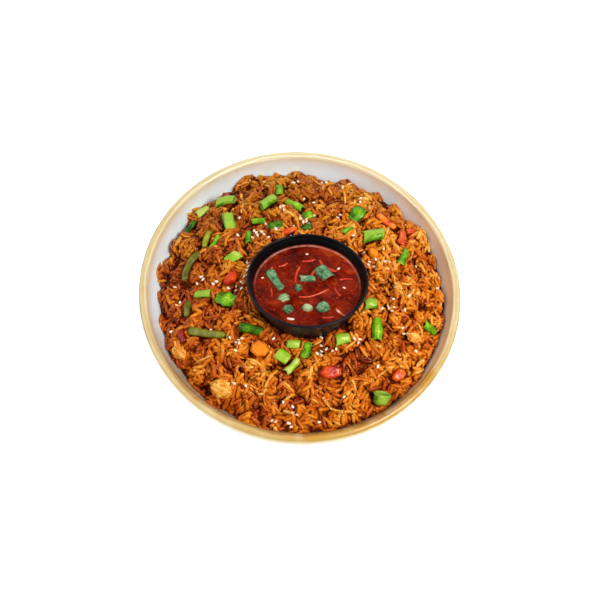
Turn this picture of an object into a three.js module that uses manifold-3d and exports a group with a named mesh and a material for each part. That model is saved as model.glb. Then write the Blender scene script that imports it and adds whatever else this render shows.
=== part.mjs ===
// A round stoneware bowl heaped with fried rice. A small black cup of thick red gravy leans
// back in the middle of the heap, and spring onion, carrot, sweet pepper, chicken and sesame
// lie over the rice. Millimetres, +Z up, origin in the middle of the foot's underside.

import * as THREE from 'three';
import { mergeVertices } from 'three/addons/utils/BufferGeometryUtils.js';
import Module from 'manifold-3d';

// ---- Driving dimensions --------------------------------------------------------------

const BOWL_HEIGHT = 58;
const BOWL_FLOOR = 8;          // height of the inside floor
const MOUTH_RADIUS = 100.5;    // inside radius at the rim
const BOWL_WALL = 4.9;         // thickness of the wall, square to its surface
const RIM_BAND = 1.6;          // extra thickness of the wall a little under the rim
const LIP_HEIGHT = 2.2;        // height of the rounded lip over the wall
const WALL_ROUNDNESS = 2.4;    // power of the inside curve: 2 would be an ellipse
const WALL_TAPER = 0.14;       // lean of the upper wall
const FOOT_OUTER = 48;
const FOOT_INNER = 40;
const FOOT_RECESS = 2.2;       // the base inside the foot ring is this far off the table
const BOWL_SIDES = 46;

const EDGE_HEIGHT = 43.6;      // mean height at which the rice meets the wall
const EDGE_TILT = 2.5;         // the rice stands this much higher on one side, lower opposite
const EDGE_HIGH_SIDE = -15;    // direction of that high side, degrees from +X
const CROWN_HEIGHT = 66;       // height of the middle of the heap
const CROWN_POWER = 3.6;       // how flat the middle is and how steep the edge
const WALL_GAP = 0.95;         // rice to bowl wall
const HEAP_RINGS = 18;
const BUMP = 1.2;              // half height of the bumps that single grains make
const GRAIN_LENGTH = 7.8;
const GRAIN_WIDTH = 2.2;
const GRAIN_COUNT = 46;
const SEED_LENGTH = 3.2;
const SEED_WIDTH = 2;

const CUP_RADIUS = 38.5;       // outside radius of the cup's lip
const CUP_BASE_RADIUS = 26.5;
const CUP_HEIGHT = 34;
const CUP_WALL = 1.5;
const CUP_SIDES = 36;
const CUP_PLACE = [3.7, -5.4, 77.5];  // middle of the lip
const CUP_LEAN_BACK = 13;      // degrees, front edge up
const CUP_LEAN_SIDE = 3;       // degrees, left edge up

const GRAVY_DEPTH = 7.2;       // surface below the lip, in the middle
const GRAVY_RINGS = 7;

const TOUCH_GAP = 0.35;        // clearance between a piece and what it lies in

// ---- Small tools ---------------------------------------------------------------------

const wasm = await Module();
wasm.setup();

const radians = THREE.MathUtils.degToRad;

// A repeatable series of numbers between 0 and 1.
function makeRandom(seed) {
  let state = seed;
  return () => {
    state = (state + 0x6d2b79f5) | 0;
    let t = Math.imul(state ^ (state >>> 15), 1 | state);
    t = (t + Math.imul(t ^ (t >>> 7), 61 | t)) ^ t;
    return ((t ^ (t >>> 14)) >>> 0) / 4294967296;
  };
}

function makeGeometry(points, faces) {
  const geometry = new THREE.BufferGeometry();
  geometry.setAttribute('position', new THREE.Float32BufferAttribute(points.flat(), 3));
  geometry.setIndex(faces.flat());
  return geometry;
}

// Closed body through a row of rings, each a list of points counted anticlockwise from above;
// the first and last are single points or flat outlines. Rings may differ in their number of points.
function ringSolid(rings) {
  const points = rings.flat();
  const faces = [];
  let start = 0;
  for (let k = 0; k + 1 < rings.length; k++) {
    const n = rings[k].length;
    const m = rings[k + 1].length;
    const next = start + n;
    let i = 0;
    let j = 0;
    while (i < (n > 1 ? n : 0) || j < (m > 1 ? m : 0)) {
      const alongFirst = n > 1 && (m === 1 || (i + 1) / n <= (j + 1) / m);
      const a = start + (i % n);
      const b = next + (j % m);
      if (alongFirst && i < n) {
        faces.push([a, b, start + ((i + 1) % n)]);
        i++;
      } else {
        faces.push([a, b, next + ((j + 1) % m)]);
        j++;
      }
    }
    start = next;
  }
  return makeGeometry(points, faces.concat(capFaces(rings)));
}

// Fans over the first and last ring, where they are outlines and not points.
function capFaces(rings) {
  const faces = [];
  const first = rings[0].length;
  const last = rings[rings.length - 1].length;
  const end = rings.flat().length - last;
  for (let i = 1; i + 1 < first; i++) faces.push([0, i, i + 1]);
  for (let i = 1; i + 1 < last; i++) faces.push([end, end + i + 1, end + i]);
  return faces;
}

function ellipseRing(count, a, b, z, turn = 0) {
  return Array.from({ length: count }, (_, i) => {
    const angle = (i / count) * 2 * Math.PI + turn;
    return [a * Math.cos(angle), b * Math.sin(angle), z];
  });
}

// A profile of [radius, height] points turned about +Z.
function turned(profile, sides) {
  const geometry = new THREE.LatheGeometry(profile.map(([r, z]) => new THREE.Vector2(r, z)), sides);
  geometry.rotateX(Math.PI / 2);
  return welded(geometry);
}

function welded(geometry) {
  const bare = geometry.clone();
  bare.deleteAttribute('normal');
  bare.deleteAttribute('uv');
  return mergeVertices(bare, 1e-4);
}

function toManifold(geometry, matrix = new THREE.Matrix4()) {
  const body = welded(geometry);
  body.applyMatrix4(matrix);
  return new wasm.Manifold(new wasm.Mesh({
    numProp: 3,
    vertProperties: new Float32Array(body.attributes.position.array),
    triVerts: new Uint32Array(body.index.array),
  }));
}

// The outer skin of the largest piece: closed hollows are filled and loose scraps dropped.
function toGeometry(solid) {
  const pieces = solid.decompose().sort((a, b) => b.volume() - a.volume());
  const mesh = pieces[0].getMesh();
  const geometry = new THREE.BufferGeometry();
  geometry.setAttribute('position', new THREE.BufferAttribute(mesh.vertProperties, 3));
  geometry.setIndex(new THREE.BufferAttribute(mesh.triVerts, 1));
  return geometry;
}

function addMesh(parent, name, geometry, color, roughness) {
  const mesh = new THREE.Mesh(geometry, new THREE.MeshStandardMaterial({ color, roughness }));
  mesh.name = name;
  parent.add(mesh);
  return mesh;
}

// ---- Bowl ----------------------------------------------------------------------------

// Inside radius of the bowl at height z.
function wallRadius(z) {
  const t = THREE.MathUtils.clamp((BOWL_HEIGHT - z) / (BOWL_HEIGHT - BOWL_FLOOR), 0, 1);
  return MOUTH_RADIUS * Math.sqrt(1 - t ** WALL_ROUNDNESS) - WALL_TAPER * (BOWL_HEIGHT - z) * (1 - t);
}

// Point of the inside curve, from the rim (0) to the middle of the floor (1).
function insidePoint(part) {
  const angle = (part * Math.PI) / 2;
  const z = BOWL_HEIGHT - (BOWL_HEIGHT - BOWL_FLOOR) * Math.sin(angle) ** (2 / WALL_ROUNDNESS);
  return new THREE.Vector2(wallRadius(z), z);
}

// The same point carried out through the wall, which is thickest a little under the rim.
function outsidePoint(part) {
  const step = 0.002;
  const wall = BOWL_WALL + RIM_BAND * Math.exp(-(((part - 0.11) / 0.08) ** 2));
  const along = insidePoint(part + step).sub(insidePoint(part - step)).normalize();
  return insidePoint(part).add(new THREE.Vector2(-along.y, along.x).multiplyScalar(wall));
}

function makeBowl() {
  const lipPart = 0.015;
  const inner = insidePoint(lipPart);
  const outer = outsidePoint(lipPart);
  const middle = (inner.x + outer.x) / 2;
  const half = (outer.x - inner.x) / 2;
  const profile = [[0, FOOT_RECESS], [FOOT_INNER - 2, FOOT_RECESS], [FOOT_INNER, 0], [FOOT_OUTER - 1.2, 0]];
  profile.push([FOOT_OUTER, 1.2], [FOOT_OUTER + 1, 6.5]);
  for (const part of [0.58, 0.47, 0.35, 0.22, 0.08]) profile.push(outsidePoint(part).toArray());
  for (const turn of [0, 50, 90, 130]) {
    const angle = radians(turn);
    profile.push([middle + half * Math.cos(angle), inner.y + LIP_HEIGHT * Math.sin(angle)]);
  }
  for (const part of [lipPart, 0.12, 0.24, 0.36, 0.48, 0.6, 0.73, 0.87]) {
    profile.push(insidePoint(part).toArray());
  }
  profile.push([0, BOWL_FLOOR]);
  return turned(profile, BOWL_SIDES);
}

// ---- Heap of rice --------------------------------------------------------------------

// Clumps (height above 0) and hollows (below 0) of the heap: x, y, height, reach.
const CLUMPS = [
  [-57, 58, 2.5, 10], [-80, 26, 3, 10], [-72, -48, 2.5, 8], [-42, -73, 3, 10], [7, -88, 2, 11],
  [-31, -60, 2, 9], [76, -10, 1.5, 11], [20, 70, 2, 12], [56, 30, 1.5, 9], [-46, 85, 7.5, 9],
  [-97, 5, 4.5, 7], [-82, 52, 4, 8], [80, 54, 3, 7], [97, 3, 1.5, 8], [80, -56, 2, 9],
  [-28, -93, 3.5, 6], [-50, -83, 4.5, 5], [-92, 30, 2, 5],
  [-50, -70, -3, 6], [-63, -59, -3, 6], [-36, -87, -2.5, 7], [26, -81, -3, 6], [69, -45, -3, 7],
  [58, -57, -2.5, 6], [43, -64, -2, 6], [86, 18, -3, 7], [65, 17, -2, 5], [14, 66, -2.5, 5],
  [-34, 64, -2.5, 7], [-42, 45, -2, 6], [-79, 11, -2.5, 6], [-72, -17, -2, 6], [-19, -67, -2.5, 6],
  [-30, -43, -2, 6], [76, -28, -2, 6], [33, 47, -2, 5], [8, 95, -8, 8], [38, 89, -2, 5],
  [69, 69, -3, 6], [-93, -25, -3, 13],
];

function edgeHeight(angle) {
  return EDGE_HEIGHT + EDGE_TILT * Math.cos(angle - radians(EDGE_HIGH_SIDE));
}

// Height of the heap, without the bumps of its grains.
function heapHeight(x, y) {
  const edge = edgeHeight(Math.atan2(y, x));
  const part = Math.min(1, Math.hypot(x, y) / (wallRadius(edge) - WALL_GAP));
  let z = edge + (CROWN_HEIGHT - edge) * (1 - part ** CROWN_POWER);
  for (const [cx, cy, height, reach] of CLUMPS) {
    z += height * Math.exp(-((x - cx) ** 2 + (y - cy) ** 2) / reach ** 2);
  }
  return z;
}

function heapNormal(x, y) {
  const step = 1.5;
  const dx = heapHeight(x + step, y) - heapHeight(x - step, y);
  const dy = heapHeight(x, y + step) - heapHeight(x, y - step);
  return new THREE.Vector3(-dx, -dy, 2 * step).normalize();
}

// Place on the heap: length along the given direction, up square to the surface, then tipped.
function onHeap(x, y, direction, lift, tip = 0, roll = 0) {
  const up = heapNormal(x, y);
  const along = new THREE.Vector3(Math.cos(radians(direction)), Math.sin(radians(direction)), 0);
  along.addScaledVector(up, -along.dot(up)).normalize();
  const across = new THREE.Vector3().crossVectors(up, along);
  const matrix = new THREE.Matrix4().makeBasis(along, across, up);
  matrix.multiply(new THREE.Matrix4().makeRotationY(-radians(tip)));
  matrix.multiply(new THREE.Matrix4().makeRotationX(radians(roll)));
  const place = new THREE.Vector3(x, y, heapHeight(x, y)).addScaledVector(up, lift);
  return matrix.setPosition(place);
}

// The bare heap: rings of points six apart in number, each lifted or sunk by up to one bump,
// and below the edge a few rings down the inside of the bowl.
function bareHeap() {
  const random = makeRandom(7);
  const rings = [[[0, 0, heapHeight(0, 0)]]];
  for (let k = 1; k < HEAP_RINGS; k++) {
    rings.push(Array.from({ length: 6 * k }, (_, i) => {
      const angle = ((i + 0.5 * (k % 2) + 0.5 * (random() - 0.5)) / (6 * k)) * 2 * Math.PI;
      const reach = wallRadius(edgeHeight(angle)) - WALL_GAP;
      const part = (k + 0.5 * (random() - 0.5)) / HEAP_RINGS;
      const x = part * reach * Math.cos(angle);
      const y = part * reach * Math.sin(angle);
      return [x, y, heapHeight(x, y) + BUMP * (2 * random() - 1)];
    }));
  }
  const edge = Array.from({ length: 6 * HEAP_RINGS }, () => 2.4 * (random() - 0.6));
  const spacing = (2 * Math.PI) / edge.length;
  rings.push(edge.map((rise, i) => wallPoint(i * spacing, meetingHeight(i * spacing) + rise)));
  for (const [count, part] of [[60, 0.8], [48, 0.5], [32, 0.22], [16, 0.04]]) {
    rings.push(Array.from({ length: count }, (_, i) => {
      const angle = (i / count) * 2 * Math.PI;
      const base = BOWL_FLOOR + WALL_GAP;
      const [x, y, z] = wallPoint(angle, base + part * (meetingHeight(angle) - base));
      return [x, y, z + WALL_GAP * (1 - part)];
    }));
  }
  rings.push([[0, 0, BOWL_FLOOR + WALL_GAP]]);
  return ringSolid(rings);
}

function wallPoint(angle, z) {
  const radius = wallRadius(z) - WALL_GAP;
  return [radius * Math.cos(angle), radius * Math.sin(angle), z];
}

// Height at which the heap with its clumps meets the wall.
function meetingHeight(angle) {
  let z = edgeHeight(angle);
  for (let i = 0; i < 5; i++) {
    const [x, y] = wallPoint(angle, z);
    z = (z + heapHeight(x, y)) / 2;
  }
  return z;
}

// A grain or a seed: a five-sided spindle along X.
function spindle(length, width, height) {
  const ring = (x, part) => ellipseRing(5, (height / 2) * part, (width / 2) * part, x);
  const geometry = ringSolid([
    [[0, 0, length / 2]], ring(length * 0.26, 1), ring(-length * 0.26, 0.95), [[0, 0, -length / 2]],
  ]);
  return geometry.rotateY(Math.PI / 2);
}

// ---- The cup of gravy ----------------------------------------------------------------

// Outside radius of the cup at height z below its lip (z is negative).
function cupRadius(z) {
  return CUP_RADIUS - 0.5 + ((CUP_RADIUS - 0.5 - CUP_BASE_RADIUS) * z) / CUP_HEIGHT;
}

function makeCup() {
  const base = -CUP_HEIGHT;
  const floor = base + CUP_WALL;
  return turned([
    [0, base], [CUP_BASE_RADIUS - 0.8, base], [cupRadius(base + 1), base + 1], [cupRadius(-1.8), -1.8],
    [CUP_RADIUS, -1.4], [CUP_RADIUS, -0.4], [CUP_RADIUS - 0.4, 0], [CUP_RADIUS - 1.6, 0],
    [cupRadius(-1) - CUP_WALL, -1], [cupRadius(floor) - CUP_WALL, floor], [0, floor],
  ], CUP_SIDES);
}

// The room that the cup takes in the rice: its own outline grown by the touching gap.
function cupRoom() {
  const sides = 28;
  const grow = TOUCH_GAP + CUP_RADIUS * (1 / Math.cos(Math.PI / sides) - 1);
  const base = -CUP_HEIGHT - TOUCH_GAP;
  return turned([
    [0, base], [cupRadius(base) + grow, base], [cupRadius(0) + grow + 0.5, 0],
    [cupRadius(6) + grow, 6], [0, 6],
  ], sides);
}

// Thick gravy: soft lumps on a surface that leans as the cup does.
function gravyHeight(x, y) {
  const inside = 1 - (Math.hypot(x, y) / CUP_RADIUS) ** 4;
  const lumps = 0.3 * Math.sin(x / 3.4 + 0.7) * Math.cos(y / 2.9) + 0.3 * Math.sin((x - y) / 5.2 + 2);
  return -GRAVY_DEPTH + lumps * inside;
}

function makeGravy() {
  const floor = -CUP_HEIGHT + CUP_WALL + TOUCH_GAP;
  const reach = (z) => cupRadius(z) * Math.cos(Math.PI / CUP_SIDES) - CUP_WALL - TOUCH_GAP;
  const edge = reach(-GRAVY_DEPTH);
  const rings = [[[0, 0, gravyHeight(0, 0)]]];
  for (let k = 1; k <= GRAVY_RINGS; k++) {
    rings.push(ellipseRing(6 * k, 1, 1, 0).map(([c, s]) => {
      const x = (edge * c * k) / GRAVY_RINGS;
      const y = (edge * s * k) / GRAVY_RINGS;
      return [x, y, gravyHeight(x, y)];
    }));
  }
  rings.push(ellipseRing(30, reach(floor), reach(floor), floor), [[0, 0, floor]]);
  return ringSolid(rings);
}

// ---- Forms of the toppings, each lying along X with its middle at the origin ----------

// Hollow stem, a little flattened, its ends cut on a slant.
function stem(length, width) {
  const outer = width / 2;
  const inner = outer * 0.66;
  const half = length / 2;
  const section = [[inner, -half], [outer, -half], [outer, half], [inner, half], [inner, -half]];
  const geometry = turned(section, 9).rotateY(Math.PI / 2);
  const slant = new THREE.Matrix4().set(1, 0.12, 0.18, 0, 0, 1, 0, 0, 0, 0, 0.88, 0, 0, 0, 0, 1);
  return geometry.applyMatrix4(slant);
}

// Split stem: a strip curved across its width like a gutter, opening downwards.
function curl(length, width) {
  const thickness = 1.3;
  const radius = width / 2;
  const overhang = 0.15;
  const outline = new THREE.Shape();
  outline.absarc(0, 0, radius, -overhang, Math.PI + overhang, false);
  outline.absarc(0, 0, radius - thickness, Math.PI + overhang, -overhang, true);
  const geometry = new THREE.ExtrudeGeometry(outline, {
    depth: length, bevelEnabled: false, steps: 1, curveSegments: 6,
  });
  geometry.translate(0, -radius * 0.35, -length / 2);
  geometry.rotateX(Math.PI / 2);
  geometry.rotateZ(Math.PI / 2);
  return geometry;
}

// Piece of leaf: a thin sheet, wavy along its length and folded a little along its middle.
function leaf(length, width) {
  const across = 2;
  const along = 4;
  const half = 0.75;
  const sheet = (side) => {
    const points = [];
    for (let i = 0; i <= along; i++) {
      const u = i / along - 0.5;
      for (let j = 0; j <= across; j++) {
        const v = j / across - 0.5;
        const narrow = 1 - 0.9 * u * u;
        const z = 1.1 * Math.sin(u * 5.5 + 0.8) - 2.4 * Math.abs(v) + side * half;
        points.push([u * length, v * narrow * width, z]);
      }
    }
    return points;
  };
  const row = across + 1;
  const layer = row * (along + 1);
  const faces = [];
  const quad = (a, b, c, d) => faces.push([a, b, c], [a, c, d]);
  for (let i = 0; i < along; i++) {
    for (let j = 0; j < across; j++) {
      const a = i * row + j;
      quad(a, a + row, a + row + 1, a + 1);
      faces.push([a + layer, a + layer + row + 1, a + layer + row]);
      faces.push([a + layer, a + layer + 1, a + layer + row + 1]);
    }
    const edge = i * row + across;
    quad(i * row, i * row + layer, (i + 1) * row + layer, (i + 1) * row);
    quad(edge + row, edge + row + layer, edge + layer, edge);
  }
  for (let j = 0; j < across; j++) {
    const end = along * row + j;
    quad(j, j + 1, j + 1 + layer, j + layer);
    quad(end + 1, end, end + layer, end + 1 + layer);
  }
  return makeGeometry(sheet(1).concat(sheet(-1)), faces);
}

const STRIP_THICKNESS = 2.4;

// Strip of pepper with an oblong section, bent along its length through the given angle.
function strip(length, width, bend, grow = 0) {
  const steps = 4;
  const turn = radians(bend);
  const radius = length / turn;
  const reach = grow / radius;
  const rings = [];
  for (let i = 0; i <= steps; i++) {
    const angle = (i / steps - 0.5) * (turn + 2 * reach);
    const taper = 1 - 0.25 * (i / steps);
    const half = (width / 2) * taper + grow;
    const h = STRIP_THICKNESS / 2 + grow;
    rings.push([[half, h], [-half, h], [-half, -h], [half, -h]].map(([across, z]) => {
      const r = radius + across;
      return [r * Math.sin(angle), radius - r * Math.cos(angle), z];
    }));
  }
  return ringSolid(rings);
}

// Cut piece with uneven flat sides: three outlines, the middle one widest.
function chunk(length, width, seed) {
  const random = makeRandom(seed);
  const sides = 7;
  const shape = Array.from({ length: sides }, () => 0.86 + 0.14 * random());
  const height = Math.min(width, 7) * 0.75;
  const level = (z, part) => ellipseRing(sides, 1, 1, z, 0.3).map(([c, s], i) => [
    (length / 2) * part * shape[i] * c, (width / 2) * part * shape[i] * s, z,
  ]);
  return ringSolid([level(height / 2, 0.72), level(0.1 * height, 1), level(-height / 2, 0.8)]);
}

// Rounded lump, uneven all over.
function lump(length, width, seed) {
  const random = makeRandom(seed);
  const height = width * 0.62;
  const rings = [[[0, 0, height / 2]]];
  for (const [count, level] of [[7, 50], [9, 8], [7, -40]]) {
    const flat = Math.cos(radians(level));
    rings.push(ellipseRing(count, 1, 1, 0, level).map(([c, s]) => {
      const part = flat * (0.8 + 0.2 * random());
      return [(length / 2) * part * c, (width / 2) * part * s, (height / 2) * Math.sin(radians(level))];
    }));
  }
  rings.push([[0, 0, -height / 2]]);
  return ringSolid(rings);
}

// The room that a form takes in what it lies in: its own box, or for a strip its own bend.
function roomFor(form, geometry, length, width, bend) {
  if (form === 'strip') return strip(length, width, bend, TOUCH_GAP);
  geometry.computeBoundingBox();
  const size = geometry.boundingBox.getSize(new THREE.Vector3()).addScalar(2 * TOUCH_GAP);
  const middle = geometry.boundingBox.getCenter(new THREE.Vector3());
  return new THREE.BoxGeometry(size.x, size.y, size.z).translate(middle.x, middle.y, middle.z);
}

const FORMS = { stem, curl, leaf, strip, chunk, lump };
// How far the middle of each form stands over the rice, as a part of its width.
const LIFT = { stem: 0.22, curl: 0.05, leaf: 0.12, strip: 0.12, chunk: 0.16, lump: 0.1 };

// ---- Toppings on the rice ------------------------------------------------------------

// Each row: form, x, y, direction in degrees, length, width, then tip and roll in degrees
// where the piece stands askew; the last number of a strip is its bend.
const SPRING_ONION = [
  ['stem', -57, 58, -5, 13, 8], ['stem', -73, 52, 50, 10, 6.5], ['curl', -80, 40, 64, 12, 5],
  ['stem', -52, 39, -76, 12, 8, -20], ['curl', -60, 23, 69, 12, 4], ['leaf', -46, 11, 36, 11, 8],
  ['curl', -22, 71, -82, 11, 6], ['stem', -28, 57, 50, 12, 8],
  ['curl', -10, 57, -28, 13, 6], ['leaf', 0, 49, 10, 8, 7], ['curl', -33, 41, 3, 9, 5],
  ['leaf', -21, 38, -12, 10, 8], ['curl', -38, 27, -83, 9, 5], ['leaf', 0, 39, 5, 9, 5],
  ['leaf', 33, 56, 64, 14, 10.5], ['curl', 27, 40, 37, 9, 5], ['stem', 44, 38, 18, 14, 9.5, 8],
  ['curl', 66, 27, 66, 14, 6], ['stem', -62, -16, 2, 11, 5.5], ['leaf', -47, -19, -20, 13, 10],
  ['curl', -28, -38, -8, 16, 6.5], ['stem', -1, -46, 6, 8, 6], ['curl', 7.5, -48.5, -98, 10, 6],
  ['stem', -7, -54, -20, 9, 7.5], ['curl', 0, -59, 52, 11, 5], ['stem', 29, -39, 25, 9, 7],
  ['stem', 45, -13, 20, 8, 7], ['curl', 51, -28.8, -85, 14, 7.5], ['curl', 86, -19, -18, 10, 6],
  ['stem', 56.8, -69.6, 105, 8, 12, 30],
];
const CARROT_AND_PEPPER = [
  ['strip', -11, 34.5, 28, 10, 4.5, 0, 0, 20], ['strip', 53, 54, -28, 16, 6.5, 0, 0, 25],
  ['strip', 65, 43, 75, 14, 6, 0, 0, 35], ['strip', 72, 52, 25, 9, 5, 0, 0, 25],
  ['chunk', 45, 24, -45, 9, 7], ['chunk', -21, -51, -20, 14, 12], ['chunk', 24, -60, 15, 16, 10],
  ['chunk', 67, -54, 40, 12, 8], ['chunk', -45, -5, 50, 13, 8], ['strip', -72, -43, -60, 10, 5, 0, 0, 20],
];
const GREEN_PEPPER = [
  ['strip', -66, 26, -95, 14, 4.2, 0, 0, 15], ['strip', -75, 6, -105, 25, 6, 0, 0, 75],
  ['strip', -71, -25, -88, 11, 5, 0, 0, 15], ['strip', -56, -42, -4, 26, 5.5, 0, 0, 15],
];
const CHICKEN = [
  ['lump', -42, -75, 5, 16, 13], ['lump', -72, -53, -20, 12, 9], ['lump', 76, -28, -5, 12, 8],
];

// Sesame lies in loose groups: x and y of the middle of each.
const SESAME_GROUPS = [
  [-31, 30], [-3, 43], [-36, -13], [22, -53], [48, 15], [58, -18], [-36, -45], [4, 75],
];

// ---- Onion in the gravy, in the cup's own frame: form, x, y, direction, length, width --

const GRAVY_ONION = [
  ['strip', -21, 2.2, -56, 18, 6.5, 15], ['curl', -0.5, 5.5, 5, 9.5, 5], ['curl', 10, 11, -50, 11, 9],
  ['chunk', -5.5, -3.4, 80, 6, 5.5], ['leaf', -14.5, -12, 25, 9, 6], ['leaf', -11, -19, -50, 9, 6.5],
  ['chunk', 1.8, -18.6, 5, 8, 6], ['chunk', 11.3, -17, 20, 10, 9],
];

// ---- Assembly ------------------------------------------------------------------------

const dish = new THREE.Group();
addMesh(dish, 'bowl', makeBowl(), 0xd9b36a, 0.35);

const cupGroup = new THREE.Group();
cupGroup.position.set(...CUP_PLACE);
cupGroup.rotation.set(radians(-CUP_LEAN_BACK), radians(-CUP_LEAN_SIDE), 0, 'YXZ');
cupGroup.updateMatrixWorld();
dish.add(cupGroup);
addMesh(cupGroup, 'gravy_cup', makeCup(), 0x17151a, 0.3);

const toppings = [];
function addToppings(kind, rows, color, roughness) {
  rows.forEach(([form, x, y, direction, length, width, tip = 0, roll = 0, bend], i) => {
    const geometry = FORMS[form](length, width, bend ?? i + 1);
    const room = roomFor(form, geometry, length, width, bend);
    const matrix = onHeap(x, y, direction, LIFT[form] * width, tip, roll);
    const name = `${kind}_${String(i + 1).padStart(2, '0')}`;
    addMesh(dish, name, geometry, color, roughness).applyMatrix4(matrix);
    toppings.push({ x, y, reach: Math.hypot(length, width) / 2, room, matrix });
  });
}
addToppings('spring_onion', SPRING_ONION, 0x7fae2a, 0.45);
addToppings('carrot_and_pepper', CARROT_AND_PEPPER, 0xd2481c, 0.4);
addToppings('green_pepper', GREEN_PEPPER, 0x7a7414, 0.4);
addToppings('chicken', CHICKEN, 0xd9862b, 0.5);

// True where a grain would reach a topping or the cup.
function taken(x, y, reach) {
  const nearCup = Math.hypot(x - CUP_PLACE[0], y - CUP_PLACE[1]) < CUP_RADIUS + reach;
  return nearCup || toppings.some((t) => Math.hypot(x - t.x, y - t.y) < t.reach + reach);
}

function makeRice() {
  const random = makeRandom(19);
  let heap = toManifold(bareHeap()).subtract(toManifold(cupRoom(), cupGroup.matrixWorld));
  for (const topping of toppings) heap = heap.subtract(toManifold(topping.room, topping.matrix));
  const grain = spindle(GRAIN_LENGTH, GRAIN_WIDTH, GRAIN_WIDTH * 0.85);
  const seed = spindle(SEED_LENGTH, SEED_WIDTH, SEED_WIDTH * 0.6);
  const loose = [];
  const goldenAngle = Math.PI * (3 - Math.sqrt(5));
  const tries = 3 * GRAIN_COUNT;
  for (let i = 0; i < tries && loose.length < GRAIN_COUNT; i++) {
    const radius = 86 * Math.sqrt((i + 0.5) / tries);
    const x = radius * Math.cos(i * goldenAngle);
    const y = radius * Math.sin(i * goldenAngle);
    if (taken(x, y, GRAIN_LENGTH / 2)) continue;
    loose.push(toManifold(grain, onHeap(x, y, 360 * random(), 0.7, 16 * (random() - 0.5))));
  }
  for (const [gx, gy] of SESAME_GROUPS) {
    for (let i = 0; i < 3; i++) {
      const x = gx + 3.2 * Math.cos(i * 2.1 + gx) + random();
      const y = gy + 3.2 * Math.sin(i * 2.1 + gx) + random();
      if (taken(x, y, SEED_LENGTH / 2)) continue;
      loose.push(toManifold(seed, onHeap(x, y, 360 * random(), 0.8)));
    }
  }
  return toGeometry(loose.reduce((sum, piece) => sum.add(piece), heap));
}
addMesh(dish, 'rice', makeRice(), 0xc46a1c, 0.5);

function makeCutGravy() {
  let gravy = toManifold(makeGravy());
  GRAVY_ONION.forEach(([form, x, y, direction, length, width, bend], i) => {
    const geometry = FORMS[form](length, width, bend ?? i + 1);
    const mesh = addMesh(cupGroup, `gravy_onion_${i + 1}`, geometry, 0x6f8a52, 0.4);
    mesh.position.set(x, y, gravyHeight(x, y) + 0.4);
    mesh.rotation.z = radians(direction);
    mesh.updateMatrix();
    gravy = gravy.subtract(toManifold(roomFor(form, geometry, length, width, bend), mesh.matrix));
  });
  return toGeometry(gravy);
}
addMesh(cupGroup, 'gravy', makeCutGravy(), 0x8e1c0c, 0.2);

export default dish;
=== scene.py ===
"""A round stoneware bowl heaped with fried rice, with a small black cup of red gravy set into it.

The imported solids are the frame. Every piece is worked out here in millimetres in the same frame,
by the same rules as its solid, and goes into its mesh in metres.
"""

import math

import bpy
import numpy as np
from mathutils import Matrix, Vector


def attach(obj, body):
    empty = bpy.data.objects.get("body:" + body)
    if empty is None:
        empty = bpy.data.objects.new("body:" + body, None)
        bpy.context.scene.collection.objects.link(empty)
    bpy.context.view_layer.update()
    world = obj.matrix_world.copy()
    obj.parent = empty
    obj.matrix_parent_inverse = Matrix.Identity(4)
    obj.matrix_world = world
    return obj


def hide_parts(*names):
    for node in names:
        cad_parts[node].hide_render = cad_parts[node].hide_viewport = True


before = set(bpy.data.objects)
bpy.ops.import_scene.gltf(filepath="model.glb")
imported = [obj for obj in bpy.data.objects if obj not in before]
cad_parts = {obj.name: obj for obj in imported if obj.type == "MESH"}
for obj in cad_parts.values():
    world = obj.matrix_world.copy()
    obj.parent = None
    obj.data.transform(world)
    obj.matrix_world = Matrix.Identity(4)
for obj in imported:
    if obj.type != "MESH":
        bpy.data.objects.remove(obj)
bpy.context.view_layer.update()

MM = 0.001

# ---- The view ---------------------------------------------------------------------------------
# The bowl is seen from steeply above its near side, with the horizon turned a few degrees.
# It stands on a plain white table under a broad soft light from the right and a bright room.

VIEW_DISTANCE = 520
VIEW_ELEVATION = math.radians(64.8)
VIEW_ROLL = math.radians(6.07)
VIEW_TARGET = np.array([0.40, -10.89, 56])
LENS = 48.0
ROOM_COLOR, ROOM_STRENGTH = (0.94, 0.97, 1.0, 1.0), 0.42
LIGHTS_AIM = Vector((0, 0, 0.05))
TABLE_HALF, TABLE_GLOW = 3, 0.45

back = np.array([0, -math.cos(VIEW_ELEVATION), math.sin(VIEW_ELEVATION)])
level_right = np.array([1.0, 0, 0])
level_up = np.cross(back, level_right)
view_right = math.cos(VIEW_ROLL) * level_right + math.sin(VIEW_ROLL) * level_up
view_up = -math.sin(VIEW_ROLL) * level_right + math.cos(VIEW_ROLL) * level_up
view_place = (VIEW_TARGET + VIEW_DISTANCE * back) * MM

camera_data = bpy.data.cameras.new("camera")
camera_data.lens = LENS
camera = bpy.data.objects.new("camera", camera_data)
bpy.context.collection.objects.link(camera)
camera.matrix_world = Matrix(
    [(*row, place) for row, place in zip(np.column_stack([view_right, view_up, back]), view_place)]
    + [(0, 0, 0, 1)]
)
bpy.context.scene.camera = camera
bpy.context.scene.view_settings.view_transform = "Standard"


def srgb(red, green, blue):
    """Linear colour with full alpha from a display colour of 0 to 255."""
    value = np.array([red, green, blue]) / 255
    linear = np.where(value <= 0.04045, value / 12.92, ((value + 0.055) / 1.055) ** 2.4)
    return (*map(float, linear), 1.0)


def add(tree, kind, inputs=None, **settings):
    """New node of a tree. Settings are set by name; an input is linked where a socket is given."""
    node = tree.nodes.new(kind)
    for name, value in settings.items():
        setattr(node, name, value)
    for name, value in (inputs or {}).items():
        if isinstance(value, bpy.types.NodeSocket):
            tree.links.new(value, node.inputs[name])
        else:
            node.inputs[name].default_value = value
    return node


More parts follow.
